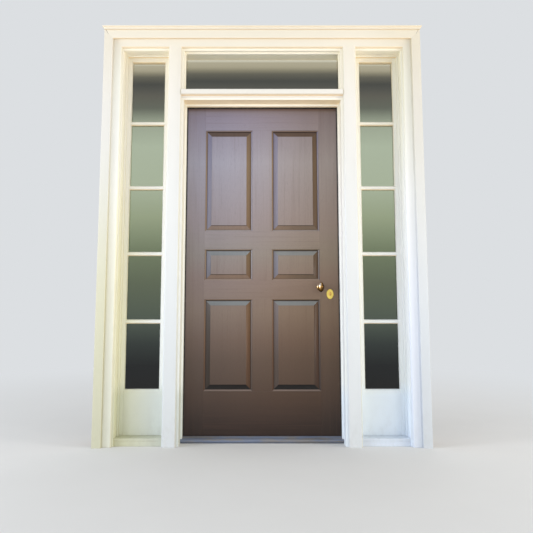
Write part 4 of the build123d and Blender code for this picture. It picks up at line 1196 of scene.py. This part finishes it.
@dataclass
class Lock(Assembly):
    """Egg knobs on moulded roses, key plate with its drop cover, inside turn, bolts and strike."""

    pieces: Pieces = (
        Piece("thumb_turn", "bronze", 0.5, "aged_bronze", "turn"),
        Piece("escutcheon", "brass", 0.25, "bright_brass", "leaf"),
        Piece("keyhole_cover", "cover_brass", 0.35, "bright_brass", "cover"),
        Piece("strike_plate", "steel", 0.25, "plated_steel"),
        Piece("lock_case", "steel", 0.25, "plated_steel", "leaf"),
        Piece("latch_bolt", "bolt", 0.4, "bolt_brass", "latch"),
        Piece("dead_bolt", "bolt", 0.4, "bolt_brass", "dead_bolt"),
    )
    knob: tuple[float, float] = (0.3585, 0.9205)
    key: tuple[float, float] = (0.417, 0.878)
    leaf_back: float = 0.0445
    egg: tuple[float, float] = (17.75, 30.5)
    egg_depth: float = 46.0
    plate: tuple[float, float] = (21.5, 31.5)
    rim: Outline = ((0.93, -1.9), (0.94, -2.55), (0.965, -2.8), (0.985, -2.5), (0.998, -1.9), (0.965, -1.0))
    neck: Outline = (
        (0.0, 1.0), (8.0, 1.0), (8.0, 7.4), (10.9, 7.4), (11.5, 8.0), (11.5, 8.9), (10.9, 9.4), (9.6, 9.6),
        (9.0, 10.6), (8.2, 12.6), (7.2, 15.6), (6.7, 18.6), (6.6, 20.5), (6.9, 23.4), (7.7, 26.4),
        (8.9, 29.2), (10.4, 31.5), (11.6, 33.4), (11.0, 36.0), (0.0, 37.0),
    )
    rose: Outline = (
        (8.35, 7.0), (8.35, 0.1), (23.2, 0.1), (23.25, 1.5), (22.6, 2.2), (21.4, 2.3), (20.9, 2.9),
        (20.2, 4.2), (18.6, 5.5), (16.6, 6.3), (14.9, 6.6), (14.5, 7.0), (12.4, 7.0), (11.9, 6.6),
        (10.9, 6.6), (10.4, 7.0),
    )
    turn_rose: Outline = (
        (5.35, 5.0), (5.35, 0.0), (16.0, 0.0), (16.0, 1.6), (15.2, 2.4), (13.6, 2.8), (12.6, 4.0),
        (10.6, 4.8), (8.4, 5.0),
    )
    strike_screws: tuple[Place, ...] = ((0.4855, 0.0225, 0.8545), (0.4855, 0.0225, 0.9455))
    forend_screws: tuple[Place, ...] = ((0.4825, 0.02225, 0.851), (0.4825, 0.02225, 0.949))
    forend_screw_radius: float = 3.2

    def stand(self, side: Side, at: Span, reach: float = 0.0) -> Vector:
        """The point that stands out from one of the leaf's faces by a reach in millimetres."""
        face = 0.0 if side is Side.OUTSIDE else self.leaf_back
        return Vector((at[0], face + side.value * reach * MM, at[1]))

    def turned(self, profile: Outline, side: Side, at: Span, closed: bool = False) -> BMesh:
        """Spins a profile of radius and reach in millimetres out from one face of the leaf."""
        outward = tuple((radius, reach * side.value) for radius, reach in profile)
        return self.workshop.lathe(outward, self.stand(side, at), closed)

    def knob_mesh(self, side: Side) -> BMesh:
        """An upright egg on its turned neck.

        Args:
            side: Which face of the leaf it stands on.

        Returns:
            The mesh.
        """
        half_width, half_height = (size * MM for size in self.egg)
        egg = bmesh.new()
        bmesh.ops.create_uvsphere(egg, u_segments=48, v_segments=32, radius=1.0)
        bmesh.ops.scale(egg, vec=(half_width, half_width, half_height), verts=egg.verts)
        bmesh.ops.translate(egg, verts=egg.verts, vec=self.stand(side, self.knob, self.egg_depth))
        return self.workshop.merge(self.turned(self.neck, side, self.knob), egg)

    def plate_rim(self) -> BMesh:
        """The raised bead round the oval key plate, spun round and scaled to the plate."""
        metre = 1 / MM
        profile = tuple((share * metre, y) for share, y in self.rim)
        made = self.workshop.lathe(profile, Vector((0, 0, 0)), closed=True, steps=96)
        width, height = self.plate
        bmesh.ops.scale(made, vec=(width * MM, 1.0, height * MM), verts=made.verts)
        bmesh.ops.translate(made, verts=made.verts, vec=self.stand(Side.OUTSIDE, self.key))
        return made

    def build(self) -> None:
        """Makes the lock's pieces."""
        shop = self.workshop
        bronze = partial(Piece, finishes="bronze", slot="aged_bronze")
        for side, node in ((Side.OUTSIDE, "knob_outside"), (Side.INSIDE, "knob_inside")):
            knob = bronze(node, body="knobs", name=f"{node}_turned", smooth=40.0)
            shop.finish(self.knob_mesh(side), knob)
        roses = shop.merge(
            self.turned(self.rose, Side.OUTSIDE, self.knob, True),
            self.turned(self.rose, Side.INSIDE, self.knob, True),
            self.turned(self.turn_rose, Side.INSIDE, self.key, True),
        )
        shop.finish(roses, bronze("roses", body="leaf", name="roses_turned"))
        super().build()
        # The rim wears a darker brass than the plate.
        rim = Piece("", "dull_brass", slot="bright_brass", body="leaf", name="escutcheon_rim")
        shop.finish(self.plate_rim(), rim)
        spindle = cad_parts["spindle"].data
        spindle.materials.clear()
        spindle.materials.append(shop.palette["steel"])
        steel = partial(Piece, "", "steel", slot="plated_steel")
        strike = [shop.screw(Vector(place), -1) for place in self.strike_screws]
        shop.finish(shop.merge(*strike), steel(name="strike_screws"))
        forend = [shop.screw(Vector(place), 1, self.forend_screw_radius) for place in self.forend_screws]
        shop.finish(shop.merge(*forend), steel(name="forend_screws", body="leaf"))


@dataclass
class Studio:
    """Plain pale floor, soft lamps and the camera."""

    floor_radius: float = 12.0
    floor: Colour = (216, 216, 215)
    grit: Colour = (212, 212, 211)
    melt: Span = (1.2, 4.5)
    backdrop: Colour = (220, 223, 226)
    sky: Colour = (251, 253, 255)
    ambient: float = 0.74
    camera_place: Place = (0.0, -3.891, 0.858)
    pitch: float = 7.08
    lens: float = 42.47
    shift: tuple[float, float] = (0.00816, -0.0886)
    aim: Place = (0.0, 0.0, 1.25)
    lamps: tuple[tuple[str, Place, float, float, Colour], ...] = (
        ("key_lamp", (-6.0, -2.3, 1.9), 2.2, 235.0, (243, 248, 255)),
        ("fill_lamp", (6.0, -2.3, 1.7), 2.2, 215.0, (255, 250, 244)),
        ("front_lamp_left", (-3.7, -5.2, 1.3), 1.4, 40.0, (250, 252, 255)),
        ("front_lamp_right", (3.7, -5.2, 1.3), 1.4, 40.0, (255, 253, 250)),
        ("back_lamp", (1.8, 4.6, 3.2), 3.0, 30.0, (255, 255, 255)),
    )

    def seen(self, graph: Graph) -> NodeSocket:
        """Where the eye sees a surface, straight, mirrored or through glass.

        Args:
            graph: The graph that uses it.

        Returns:
            A mask that is 1 there.
        """
        path = graph.node("LightPath").outputs
        near = graph.math("MAXIMUM", path["Is Camera Ray"], path["Is Glossy Ray"])
        return graph.math("MAXIMUM", near, path["Is Transmission Ray"])

    def make_floor(self) -> None:
        """A round floor whose far part melts into the backdrop."""
        made = bmesh.new()
        bmesh.ops.create_circle(made, cap_ends=True, segments=128, radius=self.floor_radius)
        material = bpy.data.materials.new("studio_floor")
        material.use_nodes = True
        material.node_tree.nodes.clear()
        graph = Graph(material.node_tree)
        x, y, _ = graph.axes(graph.place())
        reach = graph.math("SQRT", graph.math("ADD", graph.times(x, x), graph.times(y, y)))
        tone = graph.mix(graph.noise(graph.place(), (3.0, 3.0, 3.0), Detail=3.0), self.floor, self.grit)
        ground = graph.node("BsdfDiffuse", {"Color": tone}).outputs[0]
        glow = graph.node("Emission", {"Color": linear(self.backdrop), "Strength": 1.0}).outputs[0]
        far = graph.times(graph.span(reach, *self.melt), self.seen(graph))
        joined = graph.node("MixShader", {0: far, 1: ground, 2: glow})
        graph.node("OutputMaterial", {0: joined.outputs[0]})
        floor = add("studio_floor", to_mesh("studio_floor", made))
        floor.data.materials.append(material)

    def make_world(self) -> None:
        """Backdrop colour where it is seen, and a plain soft light elsewhere."""
        world = bpy.data.worlds.new("studio_world")
        bpy.context.scene.world = world
        world.use_nodes = True
        world.node_tree.nodes.clear()
        graph = Graph(world.node_tree)
        lit = graph.node("Background", {0: linear(self.sky), 1: self.ambient}).outputs[0]
        shown = graph.node("Background", {0: linear(self.backdrop), 1: 1.0}).outputs[0]
        mixed = graph.node("MixShader", {0: self.seen(graph), 1: lit, 2: shown})
        graph.node("OutputWorld", {0: mixed.outputs[0]})

    def make_lamps(self) -> None:
        """Large soft lamps aimed at the middle of the door, of which mirrors show the front ones."""
        for name, place, size, power, colour in self.lamps:
            data = bpy.data.lights.new(name, "AREA")
            data.shape, data.size, data.energy = "SQUARE", size, power
            data.color = linear(colour)[:3]
            lamp = add(name, data)
            lamp.location = place
            lamp.rotation_euler = (Vector(self.aim) - Vector(place)).to_track_quat("-Z", "Y").to_euler()
            lamp.visible_camera = lamp.visible_transmission = False
            lamp.visible_glossy = place[1] < 0

    def make_camera(self) -> None:
        """The photograph's view, from low in front of the door and tilted up a little."""
        data = bpy.data.cameras.new("view_camera")
        data.lens, data.sensor_width = self.lens, 36.0
        data.shift_x, data.shift_y = self.shift
        data.dof.use_dof = False
        camera = add("view_camera", data)
        camera.location = self.camera_place
        camera.rotation_euler = (math.radians(90 + self.pitch), 0, 0)
        bpy.context.scene.camera = camera

    def build(self) -> None:
        """Makes the studio."""
        self.make_camera()
        self.make_floor()
        self.make_world()
        self.make_lamps()
        bpy.context.scene.view_settings.view_transform = "Standard"


def main() -> None:
    """Builds the studio and the door's sub-assemblies in order, and reports each one."""
    logging.basicConfig(level=logging.INFO, format="%(name)s: %(message)s")
    Studio().build()
    workshop = Workshop(Palette())
    for kind in (Casing, Jambs, Transom, Doorway, Sidelights, Leaf, Hinges, Lock):
        already = len(workshop.pieces)
        kind(workshop).build()
        for piece in workshop.pieces[already:]:
            log.info("%s: %s, %d faces", kind.__name__, piece.name, len(piece.data.polygons))


if __name__ == "__main__":
    main()
